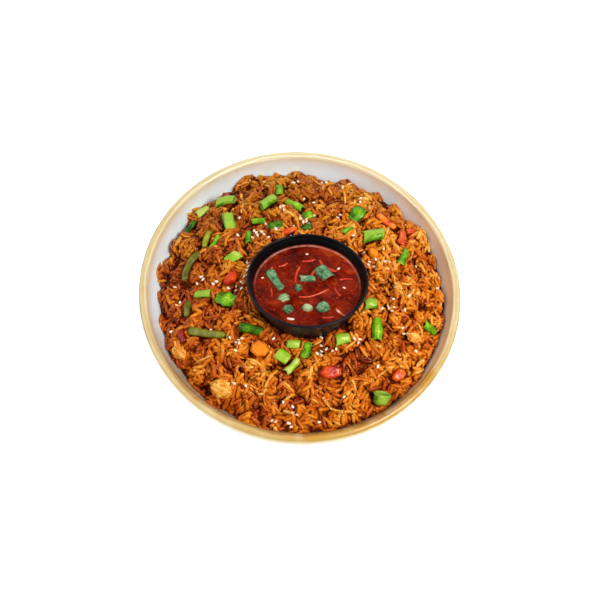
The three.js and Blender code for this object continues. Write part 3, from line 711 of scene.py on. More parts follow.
# ---- Forms of the cut vegetables --------------------------------------------------------------
# Each lies along X with its middle at the origin, as its solid does: spring onion as rings and
# split rings of its hollow leaf, pepper and carrot as strips and dice, chicken as torn lumps.


STEM_BORE, STEM_SQUASH, STEM_SIDES = 0.72, 0.72, 32


def stem(length, width, _):
    """Hollow ring: a wall section turned about X, squashed and dented, its ends cut on a slant."""
    outer, half = width / 2, length / 2
    inner = outer * STEM_BORE
    heights = np.array([-0.93, -0.6, -0.3, 0, 0.3, 0.6, 0.93]) * half
    wall = (outer - inner) / 2
    turns = np.radians([60, 90, 120])
    end_x = half - wall * 0.5 + wall * 0.5 * np.sin(turns)
    end = np.stack([end_x, inner + wall + wall * np.cos(turns)], axis=-1)
    outside = np.stack([heights, np.full(len(heights), outer)], axis=-1)
    section = np.concatenate([outside, end, outside[::-1] * [1, 0] + [0, inner], end[::-1] * [-1, 1]])
    angle = circle(STEM_SIDES)
    x = section[:, :1] + 0 * angle
    dents = 0.08 * np.sin(2 * angle + width + 0.25 * x) + 0.04 * np.sin(5 * angle + 0.5 * x)
    radius = section[:, 1:] * (0.98 + 0.02 * np.cos(9 * angle) + dents)
    y, z = radius * np.cos(angle), radius * np.sin(angle) * STEM_SQUASH
    y = y + 0.35 * np.sin(x * 0.5 + length)
    points = np.stack([x + 0.16 * y + 0.22 * z, y, z - 0.35 * (x / half) ** 2], axis=-1)
    return points.reshape(-1, 3), [grid_quads(*x.shape, wrap_rows=True, wrap_columns=True)]


def uneven(points, length, width):
    """Cut leaf is never straight: a soft bow, one end narrower, a little twisted and pinched."""
    x, y, z = np.moveaxis(points, -1, 0)
    u = 2 * x / length
    turned = math.radians(14) * u * math.sin(3.7 * length + width)
    narrow = 1 - 0.06 * (1 + u * math.cos(2.3 * length + 5 * width)) + 0.03 * np.sin(4 * u + length)
    y, z = swing(y * narrow, z * narrow, np.cos(turned), np.sin(turned))
    bow = 0.5 * math.sin(length + 2 * width) * (u**2 - 0.4)
    return np.stack([x, y + bow, z - 0.3 * u**2], axis=-1)


def shell(upper, lower):
    """Closed sheet between two grids of points of one shape, with a wall round its edge."""
    rows, columns = upper.shape[:2]
    count = rows * columns
    number = np.arange(count).reshape(rows, columns)
    edge = np.concatenate([number[0, :-1], number[:-1, -1], number[-1, :0:-1], number[:0:-1, 0]])
    after = np.roll(edge, -1)
    quads = grid_quads(rows, columns)
    wall = np.stack([after, edge, edge + count, after + count], axis=-1)
    points = np.concatenate([upper.reshape(-1, 3), lower.reshape(-1, 3)])
    return points, [quads, quads[:, ::-1] + count, wall]


def curl(length, width, _):
    """Split ring: a wall bent round X like a gutter that opens downwards, thin at its edges."""
    radius = width / 2 - 0.65
    overhang = 0.15
    a = np.linspace(-overhang, np.pi + overhang, 17)[None, :]
    u = np.linspace(-0.5, 0.5, 10)[:, None]
    flare = 1 + 0.05 * np.sin(9 * u + width) + 0.1 * (np.abs(np.cos(a)) > 0.9)
    half = 0.62 * (1 - 0.55 * np.abs(2 * a / np.pi - 1) ** 6) * (1 - 0.4 * np.abs(2 * u) ** 8)
    x = u * length + 0.5 * np.sin(2 * a + length)

    def face(side):
        r = radius * flare + side * half
        return np.stack([x, r * np.cos(a), r * np.sin(a) - 0.175 * width], axis=-1)

    return shell(face(1), face(-1))


def leaf(length, width, _):
    """Piece of leaf: wavy along its length, folded softly along its middle, narrower at its ends."""
    u = np.linspace(-0.5, 0.5, 18)[:, None]
    v = np.linspace(-0.5, 0.5, 13)[None, :]
    ragged = 1 + 0.06 * np.sin(16 * u + length)
    fold = np.sqrt(v**2 + 0.004)
    z = 1.1 * np.sin(u * 5.5 + 0.8) - 2.4 * fold + 0.18 * np.sin(v * 30 + 3 * u)
    y = v * (1 - 0.9 * u**2) * width * ragged
    half = 0.7 * (1 - 0.6 * np.abs(2 * v) ** 6) * (1 - 0.6 * np.abs(2 * u) ** 8)
    x = u * length * (1 - 0.1 * v**2) + 0.25 * np.sin(11 * v + width) * (np.abs(u) > 0.4)

    def face(side):
        return np.stack([x + 0 * v, y, z + side * half], axis=-1)

    return shell(face(1), face(-1))


STRIP_THICKNESS, STRIP_SIDES = 2.4, 20


def strip(length, width, bend):
    """Strip with a rounded oblong section carried along an arc, narrower at one end."""
    turn_angle = math.radians(bend)
    radius = length / turn_angle
    u = np.linspace(0, 1, 22)
    angle = (u - 0.5) * turn_angle
    a = circle(STRIP_SIDES)
    across = np.sign(np.cos(a)) * np.abs(np.cos(a)) ** 0.5
    high = np.sign(np.sin(a)) * np.abs(np.sin(a)) ** 0.6
    end = (1 - np.abs(2 * u - 1) ** 14) ** 0.35
    taper = (1 - 0.25 * u) * np.maximum(end, 0.25) * (1 + 0.05 * np.sin(9 * u + length))
    r = radius + across[None, :] * (width / 2) * taper[:, None]
    z = high[None, :] * (STRIP_THICKNESS / 2) * np.maximum(end, 0.35)[:, None]
    z = z + 0.3 * np.sin(6 * u[:, None] + width) - 0.25 * (across[None, :] * 1.2) ** 2
    rings = np.stack([r * np.sin(angle)[:, None], radius - r * np.cos(angle)[:, None], z], axis=-1)
    return closed_body(rings, rings[0].mean(axis=0), rings[-1].mean(axis=0))


def draws(seed, count):
    """The same series of numbers between 0 and 1 that gives the solids their uneven outlines."""
    low, step = 0xFFFFFFFF, 0x6D2B79F5
    state = seed
    series = []
    for _ in range(count):
        state = (state + step) & low
        t = ((state ^ (state >> 15)) * (1 | state)) & low
        t ^= (t + (((t ^ (t >> 7)) * (61 | t)) & low)) & low
        series.append(((t ^ (t >> 14)) & low) / (low + 1))
    return np.array(series)


def chunk(length, width, seed):
    """Diced piece: seven uneven flat sides, widest a little above the middle, edges just broken."""
    sides = 7
    reach = 0.86 + 0.14 * draws(seed, sides)
    corner_angle = circle(sides) + 0.3
    corners = np.stack([reach * np.cos(corner_angle), reach * np.sin(corner_angle)])[:, :, None]
    before, after = np.roll(corners, 1, axis=1), np.roll(corners, -1, axis=1)
    share = np.array([0.2, 0.07, 0, 0, 0])
    outline = corners * (1 - share - share[::-1]) + before * share + after * share[::-1]
    outline[:, :, 2] *= 0.98
    outline = outline.reshape(2, -1) * np.array([[length / 2], [width / 2]])
    height = min(width, 7) * 0.75
    levels = np.array([
        (0.5, 0.3), (0.5, 0.6), (0.49, 0.69), (0.455, 0.75), (0.38, 0.81), (0.17, 0.955), (0.1, 0.985),
        (0.04, 0.98), (-0.04, 0.965), (-0.4, 0.84), (-0.47, 0.8), (-0.5, 0.72), (-0.5, 0.4),
    ])
    z, part = levels[:, :1] * height, levels[:, 1:]
    x, y = part * outline[0], part * outline[1]
    rings = np.stack([x, y, z + 0.12 * np.sin(x * 1.1 + seed) * np.cos(y * 1.3)], axis=-1)
    return closed_body(rings, rings[0].mean(axis=0), rings[-1].mean(axis=0))


LUMP_LEVELS, LUMP_SIDES = 48, 80
CRAGS = [(2.3, 0.08), (4.7, 0.07), (9.5, 0.055), (17, 0.035)]


def lump(length, width, seed):
    """Torn, fried lump: an ellipsoid whose reach goes up and down in crags of several sizes."""
    level = np.radians(np.linspace(84, -84, LUMP_LEVELS))[:, None]
    a = circle(LUMP_SIDES)[None, :]
    d = np.stack([np.cos(level) * np.cos(a), np.cos(level) * np.sin(a), np.sin(level) + 0 * a])
    crags = 0
    for size, depth in CRAGS:
        wave = np.sin(size * d[0] + seed + 2 * np.sin(size * d[1]))
        crags = crags + depth * wave * np.sin(size * d[1] + 2 * np.sin(size * d[2] + seed))
    reach = 0.9 + crags
    half = np.array([length / 2, width / 2, width * 0.31])[:, None, None]
    rings = np.moveaxis(d * reach * half, 0, -1)
    return closed_body(rings, [0, 0, half[2, 0, 0] * 0.92], [0, 0, -half[2, 0, 0] * 0.92])


FORMS = {"stem": stem, "curl": curl, "leaf": leaf, "strip": strip, "chunk": chunk, "lump": lump}

# How far the middle of each form is lifted off the rice, as a share of its width.
LIFT = {"stem": 0.22, "curl": 0.05, "leaf": 0.12, "strip": 0.12, "chunk": 0.16, "lump": 0.1}


def on_heap(x, y, direction, lift, tip):
    """Axes and place on the heap: length along the direction, up square to the surface, tipped."""
    step = 1.5
    slope_x = heap_height(x + step, y) - heap_height(x - step, y)
    slope_y = heap_height(x, y + step) - heap_height(x, y - step)
    up = np.array([-slope_x, -slope_y, 2 * step])
    up /= np.linalg.norm(up)
    along = np.array([math.cos(math.radians(direction)), math.sin(math.radians(direction)), 0])
    along -= along.dot(up) * up
    along /= np.linalg.norm(along)
    axes = np.column_stack([along, np.cross(up, along), up]) @ turning("Y", -math.radians(tip))
    return axes, np.array([x, y, heap_height(x, y)]) + lift * up


# ---- Toppings ---------------------------------------------------------------------------------
# Spring onion, carrot and red pepper, green pepper and fried chicken lie on the rice, each
# pressed a little into it, so that grains lie over its edge.

# Form, x, y, direction, length, width, bend of a strip or tip of a stem, and tone of each piece.
# The tone says how pale or how red it is.

SPRING_ONION = [
    ("stem", -57, 58, -5, 13, 8, 0, 0.5), ("stem", -73, 52, 50, 10, 6.5, 0, 1.0),
    # The curl at -80, 40 is darker by its low tone, partly as painted shade.
    ("curl", -80, 40, 64, 12, 5, 0, 0.1), ("stem", -52, 39, -76, 12, 8, -20, 0.5),
    ("curl", -60, 23, 69, 12, 4, 0, 0.55), ("leaf", -46, 11, 36, 11, 8, 0, 0.85),
    ("curl", -22, 71, -82, 11, 6, 0, 0.45), ("stem", -28, 57, 50, 12, 8, 0, 0.4),
    ("curl", -10, 57, -28, 13, 6, 0, 0.5), ("leaf", 0, 49, 10, 8, 7, 0, 0.6),
    ("curl", -33, 41, 3, 9, 5, 0, 0.5), ("leaf", -21, 38, -12, 10, 8, 0, 0.3),
    ("curl", -38, 27, -83, 9, 5, 0, 0.35), ("leaf", 0, 39, 5, 9, 5, 0, 0.25),
    ("leaf", 33, 56, 64, 14, 10.5, 0, 0.45), ("curl", 27, 40, 37, 9, 5, 0, 0.4),
    ("stem", 44, 38, 18, 14, 9.5, 8, 0.4), ("curl", 66, 27, 66, 14, 6, 0, 0.4),
    ("stem", -62, -16, 2, 11, 5.5, 0, 0.35), ("leaf", -47, -19, -20, 13, 10, 0, 0.5),
    ("curl", -28, -38, -8, 16, 6.5, 0, 0.2), ("stem", -1, -46, 6, 8, 6, 0, 0.65),
    ("curl", 7.5, -48.5, -98, 10, 6, 0, 0.45), ("stem", -7, -54, -20, 9, 7.5, 0, 0.7),
    ("curl", 0, -59, 52, 11, 5, 0, 0.8), ("stem", 29, -39, 25, 9, 7, 0, 0.65),
    ("stem", 45, -13, 20, 8, 7, 0, 0.5), ("curl", 51, -28.8, -85, 14, 7.5, 0, 0.55),
    ("curl", 86, -19, -18, 10, 6, 0, 0.4), ("stem", 56.8, -69.6, 105, 8, 12, 30, 0.35),
]
CARROT_AND_PEPPER = [
    ("strip", -11, 34.5, 28, 10, 4.5, 20, 0.6), ("strip", 53, 54, -28, 16, 6.5, 25, 0.68),
    ("strip", 65, 43, 75, 14, 6, 35, 0.6), ("strip", 72, 52, 25, 9, 5, 25, 0.5),
    ("chunk", 45, 24, -45, 9, 7, 0, 0.8), ("chunk", -21, -51, -20, 14, 12, 0, 0.9),
    ("chunk", 24, -60, 15, 16, 10, 0, 0.42), ("chunk", 67, -54, 40, 12, 8, 0, 0.58),
    ("chunk", -45, -5, 50, 13, 8, 0, 0.4), ("strip", -72, -43, -60, 10, 5, 20, 0.1),
]
GREEN_PEPPER = [
    ("strip", -66, 26, -95, 14, 4.2, 15, 0.8), ("strip", -75, 6, -105, 25, 6, 75, 0.3),
    ("strip", -71, -25, -88, 11, 5, 15, 0.2), ("strip", -56, -42, -4, 26, 5.5, 15, 0.4),
]
CHICKEN = [
    ("lump", -42, -75, 5, 16, 13, 0, 0.6), ("lump", -72, -53, -20, 12, 9, 0, 0.6),
    ("lump", 76, -28, -5, 12, 8, 0, 0.6),
]


def wet_film_group():
    """Node group: an uneven wet film. Gives a roughness that varies and a fine bumped normal."""
    group = bpy.data.node_groups.new("wet film", "ShaderNodeTree")
    for name, value in (("Smoothest", 0.2), ("Roughest", 0.45), ("Scale", 400.0), ("Relief", 0.0003)):
        socket = group.interface.new_socket(name, in_out="INPUT", socket_type="NodeSocketFloat")
        socket.default_value = value
    group.interface.new_socket("Roughness", in_out="OUTPUT", socket_type="NodeSocketFloat")
    group.interface.new_socket("Normal", in_out="OUTPUT", socket_type="NodeSocketVector")
    source = group.nodes.new("NodeGroupInput").outputs
    result = group.nodes.new("NodeGroupOutput")
    grain = noise(group, source["Scale"], 3)
    rough = map_to(group, grain, 0.3, 0.7, source["Smoothest"], source["Roughest"])
    group.links.new(rough, result.inputs["Roughness"])
    group.links.new(bump(group, grain, source["Relief"], 0.7), result.inputs["Normal"])
    return group


WET_FILM = wet_film_group()


def wet(tree, shader, color, smoothest, roughest, scale, relief):
    """Gives a shader its colour and the wet film with its own values."""
    values = {"Smoothest": smoothest, "Roughest": roughest, "Scale": scale, "Relief": relief}
    film = add(tree, "ShaderNodeGroup", node_tree=WET_FILM)
    for name, value in values.items():
        film.inputs[name].default_value = value
    rough, normal = film.outputs["Roughness"], film.outputs["Normal"]
    feed(tree, shader, Base_Color=color, Roughness=rough, Normal=normal)


def spring_onion_material(name, stops, pale, ribs):
    """Leaf green by tone, streaked along the piece, paler at cut ends and on the inner face."""
    material, tree, shader = new_material(
        name, Specular_IOR_Level=0.4, Specular_Tint=(0.8, 1, 0.5, 1), Coat_Weight=0.04)
    own_tone = attribute(tree, "tone")
    lines = add(tree, "ShaderNodeCombineXYZ", {
        "X": attribute(tree, "turn"), "Y": math_node(tree, "MULTIPLY", attribute(tree, "along"), 0.06),
        "Z": math_node(tree, "MULTIPLY", own_tone, 9.0),
    }).outputs[0]
    streak = map_to(tree, noise(tree, 1.6, 2, vector=lines), 0.3, 0.7, -ribs, ribs)
    tone = math_node(tree, "ADD", own_tone, streak)
    color = ramp(tree, math_node(tree, "ADD", tone, mottle(tree, -0.16, 0.16, 170)), stops)
    color = blend(tree, attribute(tree, "cut"), color, pale)
    wet(tree, shader, color, 0.2, 0.42, 350.0, 0.0002)
    return material


def toned(tree, stops, spread, scale, detail=3.0):
    """Colour ramp by the piece's tone, mottled by a spread either way."""
    drift = mottle(tree, -spread, spread, scale, detail)
    return ramp(tree, math_node(tree, "ADD", attribute(tree, "tone"), drift), stops)


def tinted_material(name, stops, smoothest=0.15, relief=0.0003, scale=300.0):
    """Moist cut food: a ramp by the piece's tone, mottled, under a wet film."""
    material, tree, shader = new_material(
        name, Specular_IOR_Level=0.35, Coat_Weight=0.1, Coat_Roughness=0.1)
    wet(tree, shader, toned(tree, stops, 0.26, 170), smoothest, smoothest + 0.25, scale, relief)
    return material


onion_green = spring_onion_material("spring onion", [
    (0, (22, 52, 4)), (0.25, (58, 112, 6)), (0.5, (104, 164, 6)), (0.75, (154, 198, 30)),
    (1, (206, 212, 116)),
], srgb(170, 200, 70), 0.18)
carrot_red = tinted_material("carrot and red pepper", [
    (0, (120, 14, 2)), (0.3, (182, 34, 10)), (0.55, (222, 76, 14)), (0.85, (244, 136, 14)),
])
pepper_green = tinted_material("cooked green pepper", [
    (0, (76, 70, 6)), (0.4, (116, 116, 10)), (1, (164, 172, 26)),
])
chicken_gold = tinted_material("fried chicken", [
    (0, (96, 30, 2)), (0.4, (184, 86, 6)), (0.75, (232, 144, 24)), (1, (248, 190, 84)),
], smoothest=0.3, relief=0.0008, scale=600.0)


def dress(piece, form, length, points, tone):
    """Marks a piece with its tone, raised towards its top as painted light and on a lump lowered in its
    crags as painted shade, its place along and around, and how close it is to a cut.
    """
    reach = np.hypot(points[:, 1], points[:, 2])
    if form == "lump":
        size = np.abs(points).max(axis=0)
        # Painted shade: a lump darker in its crags.
        tone = tone + 2.2 * (np.linalg.norm(points / size, axis=1) - 0.85)
    high = points[:, 2] / points[:, 2].max()
    # Painted light: the tone raised towards the top of the piece.
    tone = tone + 0.07 * np.sin(0.8 * points[:, 0] + length) + 0.16 * (high - 0.6)
    mark(piece, "tone", np.clip(tone, 0, 1.1))
    mark(piece, "along", points[:, 0])
    mark(piece, "turn", np.arctan2(points[:, 2], points[:, 1]) if form != "leaf" else points[:, 1] * 0.6)
    near_end = np.clip((np.abs(points[:, 0]) - length * 0.44) / (length * 0.08), 0, 1)
    inner = np.clip((0.8 - reach / reach.max()) / 0.1, 0, 1) if form == "stem" else 0
    mark(piece, "cut", np.maximum(near_end * 0.4, inner * 0.65))


footprints = []

# How far in from the edge of each form grains may lie over it.
OVERLAP = {"stem": 1.3, "curl": 1.1, "leaf": 1.7, "strip": 1.1, "chunk": 1.5, "lump": 4.8}


def lay_toppings(kind, rows, material):
    """Makes each row's form and lays it on the heap in place of its solid."""
    for number, (form, x, y, direction, length, width, bend_or_tip, tone) in enumerate(rows, 1):
        tip = bend_or_tip if form == "stem" else 0
        points, faces = FORMS[form](length, width, bend_or_tip if form == "strip" else number)
        if form in ("stem", "curl", "leaf"):
            points = uneven(points, length, width)
        axes, place = on_heap(x, y, direction, LIFT[form] * width, tip)
        node = f"{kind}_{number:02d}"
        piece = make_piece(f"{node}_cut", points @ axes.T + place, faces, material, [node])
        dress(piece, form, length, points, tone)
        footprints.append((x, y, math.radians(direction), length, width, OVERLAP[form]))


lay_toppings("spring_onion", SPRING_ONION, onion_green)
lay_toppings("carrot_and_pepper", CARROT_AND_PEPPER, carrot_red)
lay_toppings("green_pepper", GREEN_PEPPER, pepper_green)
lay_toppings("chicken", CHICKEN, chicken_gold)

# ---- What floats in the gravy -----------------------------------------------------------------
# Cut spring onion, dulled and greyed by the hot gravy, half sunk in its surface, and softened
# shreds of carrot that show as lighter streaks, with small pale flecks that are painted highlights
# of glints on the gravy.

# Form, x, y, direction, length, width, bend and tone, in the cup's frame.
GRAVY_ONION = [
    ("strip", -21, 2.2, -56, 18, 6.5, 15, 0.35), ("curl", -0.5, 5.5, 5, 9.5, 5, 0, 0.4),
    ("curl", 10, 11, -50, 11, 9, 0, 0.35), ("chunk", -5.5, -3.4, 80, 6, 5.5, 0, 0.3),
    ("leaf", -14.5, -12, 25, 9, 6, 0, 0.75), ("leaf", -11, -19, -50, 9, 6.5, 0, 0.3),
    ("chunk", 1.8, -18.6, 5, 8, 6, 0, 0.85), ("chunk", 11.3, -17, 20, 10, 9, 0, 0.45),
]

AFLOAT = 0.4

onion_grey = spring_onion_material("onion in gravy", [
    (0, (44, 74, 48)), (0.4, (88, 138, 94)), (0.7, (132, 166, 120)), (1, (184, 188, 136)),
], srgb(168, 160, 120), 0.4)

for number, (form, x, y, direction, length, width, bend, tone) in enumerate(GRAVY_ONION, 1):
    points, faces = FORMS[form](length, width, bend or number)
    placed = points @ turning("Z", math.radians(direction)).T
    placed = from_cup(placed + [x, y, gravy_height(x, y) + AFLOAT])
    name = f"gravy_onion_{number}"
    piece = make_piece(f"{name}_cut", placed, faces, onion_grey, [name])
    dress(piece, form, length, points, tone)

# Shreds and pale flecks of painted highlight: x, y, direction, length, bend, half width and tone, in the
# cup's frame.
GRAVY_SHREDS = [
    (11, 17, -40, 16, 1.3, 1.0, 0.55), (-7.5, 9, -98, 14, 0.5, 0.9, 0.35), (5, -6.5, 25, 21, 0.7, 0.6, 0.6),
    (24, 8, 10, 9, -0.8, 0.7, 0.4), (-1, 21, 15, 9, 0.8, 0.8, 0.45), (-25, 9, 70, 8, 0.4, 0.8, 0.6),
    (4, 12, 60, 12, -1.2, 0.9, 0.5), (19, -3, -60, 9, 0.6, 0.6, 0.3), (-17, 15, 30, 7, 0.9, 0.7, 0.5),
    (-22, -8, 100, 7, 0.5, 0.6, 0.4), (15, -24, 10, 8, 0.6, 0.7, 0.3), (22.4, -19.6, -40, 9, 0.5, 0.9, 0.75),
    # The last five rows, toned above 1, are pale flecks that stand for glints: painted highlights.
    (-2.6, 26.3, 20, 2, 0, 0.7, 1.4), (18.8, 16.0, 50, 2.2, 0, 0.8, 1.4), (23.4, 0.3, -30, 2, 0, 0.7, 1.4),
    (-7.9, -27.7, -5, 4.5, 0.3, 0.9, 1.4), (-29.1, 3.1, 30, 1.8, 0, 0.6, 1.2),
]


def arcs(x, y, direction, length, bend, stations):
    """Points and headings of flat arcs through x, y: a straight line turned evenly by the bend."""
    s = np.linspace(-0.5, 0.5, stations)[None, :]
    heading = direction[:, None] + bend[:, None] * s
    step = length[:, None] / (stations - 1)
    run_x = np.cumsum(np.cos(heading) * step, axis=1)
    run_y = np.cumsum(np.sin(heading) * step, axis=1)
    run_x = run_x - run_x.mean(axis=1, keepdims=True) + x[:, None]
    run_y = run_y - run_y.mean(axis=1, keepdims=True) + y[:, None]
    return run_x, run_y, heading


THREAD_SIDES = 7


def threads(x, y, z, heading, half_width, half_height):
    """Rods with an oval section carried along paths, thinner at both ends, as one mesh."""
    rows, stations = x.shape
    a = circle(THREAD_SIDES)
    thin = np.sqrt(1 - np.abs(np.linspace(-0.93, 0.93, stations)) ** 5)[None, :, None]
    out = half_width[:, None, None] * np.cos(a) * thin
    high = half_height[:, None, None] * np.sin(a) * thin
    points = np.stack([
        x[..., None] - np.sin(heading)[..., None] * out, y[..., None] + np.cos(heading)[..., None] * out,
        z[..., None] + high,
    ], axis=-1)
    ends = np.stack([np.stack([x[:, k], y[:, k], z[:, k]], axis=-1) for k in (0, -1)], axis=1)
    points = np.concatenate([points.reshape(rows, -1, 3), ends], axis=1)
    one = closed_body(np.zeros((stations, THREAD_SIDES, 3)), [0, 0, 0], [0, 0, 0])[1]
    offset = (np.arange(rows) * points.shape[1])[:, None, None]
    return points, [(face[None] + offset).reshape(-1, face.shape[1]) for face in one]


def lay_gravy_shreds():
    """Arcs just breaking the gravy's surface, in the cup's frame and then leant with it."""
    x, y, direction, length, bend, half_width, tone = np.array(GRAVY_SHREDS).T
    run_x, run_y, heading = arcs(x, y, np.radians(direction), length, bend, 16)
    z = gravy_height(run_x, run_y) + 0.05
    points, faces = threads(run_x, run_y, z, heading, half_width, 0 * x + 0.4)
    finish = tinted_material("shreds and painted glints in gravy", [
        (0, (152, 20, 4)), (0.45, (214, 52, 12)), (0.7, (222, 84, 40)), (0.85, (226, 126, 92)),
        (1, (250, 224, 200)),
    ])
    placed = from_cup(points.reshape(-1, 3))
    piece = make_piece("gravy_shreds", placed, faces, finish, ["gravy"])
    mark(piece, "tone", np.repeat(tone, points.shape[1]))


lay_gravy_shreds()

# ---- Loose grains -----------------------------------------------------------------------------
# Long-grain rice fried in sauce. Grains are dropped one by one on the bed: each rests on the
# highest points below it, tips to them and raises the surface that the next one meets. Dropping
# goes on until the heap has its height.

GRAIN_LENGTH, GRAIN_WIDTH = 7.7, 2.45

# Half a grain's height as a share of its width, and how far it sinks in between those below it.
GRAIN_FLAT, GRAIN_SINK = 0.42, 0.55
GRAIN_STATIONS = np.array([-0.96, -0.82, -0.4, 0.4, 0.82, 0.96])
DROPS, DROP_RADIUS = 46000, 99
WHOLE_SHARE, WHOLE_FROM = 0.72, 0.76
STEEPEST = 0.8
EDGE_BANK, EDGE_BANK_REACH = 1.6, 2.5
TONE_MIDDLE = 0.52
DARK_DEPTH = 4.5
CELL = 0.5
SPAN = 102.0

line = np.arange(-SPAN, SPAN + CELL / 2, CELL)
ground_x, ground_y = np.meshgrid(line, line, indexing="ij")
goal = heap_height(ground_x, ground_y) + clods(ground_x, ground_y)
surface = goal - BED_DEPTH - TOP_LAYER
wall_gap = wall_radius(goal) - np.hypot(ground_x, ground_y)
goal = goal + EDGE_BANK * np.exp(-np.maximum(wall_gap, 0) / EDGE_BANK_REACH)
cup_x, cup_y, cup_z = np.moveaxis(in_cup(ground_x, ground_y, goal), -1, 0)
blocked = np.hypot(cup_x, cup_y) - cup_radius(np.maximum(cup_z, -CUP_HEIGHT)) < 0.1
blocked |= np.hypot(ground_x, ground_y) > wall_radius(goal) + 0.4
for x, y, direction, length, width, overlap in footprints:
    along, across = swing(ground_x - x, ground_y - y, math.cos(direction), -math.sin(direction))
    blocked |= (np.abs(along) < length / 2 - overlap) & (np.abs(across) < width / 2 - overlap)


def drop_grains():
    """Rows of x, y, z, direction, slope, length, width for the grains that found a place.

    Grains that boiled side by side cling in bundles, so their directions change slowly.
    """
    radius = DROP_RADIUS * np.sqrt(random.random(DROPS))
    around = 2 * np.pi * random.random(DROPS)
    x, y = radius * np.cos(around), radius * np.sin(around)
    flow = 2.4 * np.sin(x / 6 + 1.3 * np.sin(y / 7)) + 2.4 * np.cos(y / 5.5 + 1.2 * np.sin(x / 8))
    direction = flow + random.normal(0, 0.75, DROPS)
    whole = random.random(DROPS) < WHOLE_SHARE
    full, part = random.normal(1, 0.1, DROPS), random.uniform(0.35, 0.75, DROPS)
    length = GRAIN_LENGTH * np.where(whole, full, part)
    width = GRAIN_WIDTH * random.normal(1, 0.1, DROPS)
    proud = random.exponential(0.7, DROPS) - 0.5
    stations = np.linspace(-0.45, 0.45, 7)
    sides = np.array([-0.3, 0, 0.3])
    resting = []
    for n in range(DROPS):
        c, s = math.cos(direction[n]), math.sin(direction[n])
        u, v = stations[:, None] * length[n], sides[None, :] * width[n]
        i = np.rint((x[n] + u * c - v * s + SPAN) / CELL).astype(int)
        j = np.rint((y[n] + u * s + v * c + SPAN) / CELL).astype(int)
        if i.min() < 0 or j.min() < 0 or max(i.max(), j.max()) >= len(line) or blocked[i, j].any():
            continue
        under = surface[i, j].mean(axis=1)
        slope = (under[4:].max() - under[:3].max()) / (0.6 * length[n])
        slope = min(max(slope, -STEEPEST), STEEPEST)
        rest = np.sort(under - slope * u[:, 0])[-3:].mean() - GRAIN_SINK
        z = rest + width[n] * GRAIN_FLAT
        a, b = int((x[n] + SPAN) / CELL), int((y[n] + SPAN) / CELL)
        if z + width[n] * GRAIN_FLAT > goal[a, b] + proud[n]:
            continue
        resting.append((x[n], y[n], z, direction[n], slope, length[n], width[n]))
        reach = int(length[n] / 2 / CELL) + 2
        window = (slice(max(a - reach, 0), a + reach + 1), slice(max(b - reach, 0), b + reach + 1))
        du, dv = swing(ground_x[window] - x[n], ground_y[window] - y[n], c, -s)
        inside = 1 - (2 * du / length[n]) ** 2 - (2 * dv / width[n]) ** 2
        crest = z + slope * du + GRAIN_FLAT * width[n] * np.sqrt(np.maximum(inside, 0))
        surface[window] = np.where(inside > 0, np.maximum(surface[window], crest), surface[window])
    return np.array(resting)


grains = drop_grains()


def pod(stations, girth):
    """Closed body of eight sides along X from -1 to 1, with a girth at each station."""
    a = circle(8)
    x, girth = stations[:, None] + 0 * a, girth[:, None]
    rings = np.stack([x, girth * np.cos(a), girth * np.sin(a)], axis=-1)
    return closed_body(rings, [-1, 0, 0], [1, 0, 0])


# One grain with half sizes of 1: blunt ends, oval across.
GRAIN = pod(GRAIN_STATIONS, (1 - np.abs(GRAIN_STATIONS) ** 3.4) ** 0.5)


def many(shape, half, bend, direction, slope, roll, place):
    """Copies of a shape, each stretched, bent sideways, turned, tipped and placed, as one mesh."""
    unit, unit_faces = shape
    local = unit[None] * half[:, None, :]
    local[:, :, 1] += bend[:, None] * (unit[None, :, 0] ** 2 - 0.35)
    c, s = np.cos(roll)[:, None], np.sin(roll)[:, None]
    local[:, :, 1], local[:, :, 2] = swing(local[:, :, 1], local[:, :, 2], c, s)
    along = np.stack([np.cos(direction), np.sin(direction), slope], axis=-1)
    along /= np.linalg.norm(along, axis=-1, keepdims=True)
    across = np.stack([-np.sin(direction), np.cos(direction), 0 * slope], axis=-1)
    axes = np.stack([along, across, np.cross(along, across)], axis=1)
    points = np.einsum("gvk,gkd->gvd", local, axes) + place[:, None, :]
    offset = (np.arange(len(half)) * len(unit))[:, None, None]
    faces = [(face[None] + offset).reshape(-1, face.shape[1]) for face in unit_faces]
    return points, faces


def rice_material():
    """Sauced rice: brown-red to golden by grain, darker and less red on the far side as painted shade, and
    dark in the hollows as painted shade where sauce also pools.
    """
    material, tree, shader = new_material(
        "sauced rice", Specular_IOR_Level=0.4, Specular_Tint=(1, 0.74, 0.46, 1), Coat_Weight=0.06,
        Coat_Roughness=0.08, Subsurface_Weight=0.5, Subsurface_Radius=(0.0014, 0.0008, 0.0004),
        Subsurface_Scale=1.0)
    color = toned(tree, [
        (0, (116, 28, 0)), (0.25, (166, 60, 2)), (0.5, (206, 102, 8)), (0.75, (236, 144, 24)),
        (1, (250, 196, 104)),
    ], 0.11, 260, 2)
    # Painted shade: darker and less red on the far side, away from the light.
    color = blend(tree, attribute(tree, "far_side_shade"), color, (0.78, 0.9, 0.72, 1), "MULTIPLY")
    # Painted shade in the hollows, where sauce also pools.
    color = blend(tree, attribute(tree, "depth"), color, srgb(80, 11, 0))
    wet(tree, shader, color, 0.2, 0.45, 900.0, 0.0002)
    return material


def smooth(field, rounds):
    """Field averaged with its neighbours a number of times."""
    for _ in range(rounds):
        for axis in (0, 1):
            field = (np.roll(field, 1, axis) + 2 * field + np.roll(field, -1, axis)) / 4
    return field


even_surface = smooth(surface, 160)


def cells_of(x, y):
    """Rows and columns of the ground's cells below points."""
    i = np.clip(np.rint((x + SPAN) / CELL).astype(int), 2, len(line) - 3)
    j = np.clip(np.rint((y + SPAN) / CELL).astype(int), 2, len(line) - 3)
    return i, j


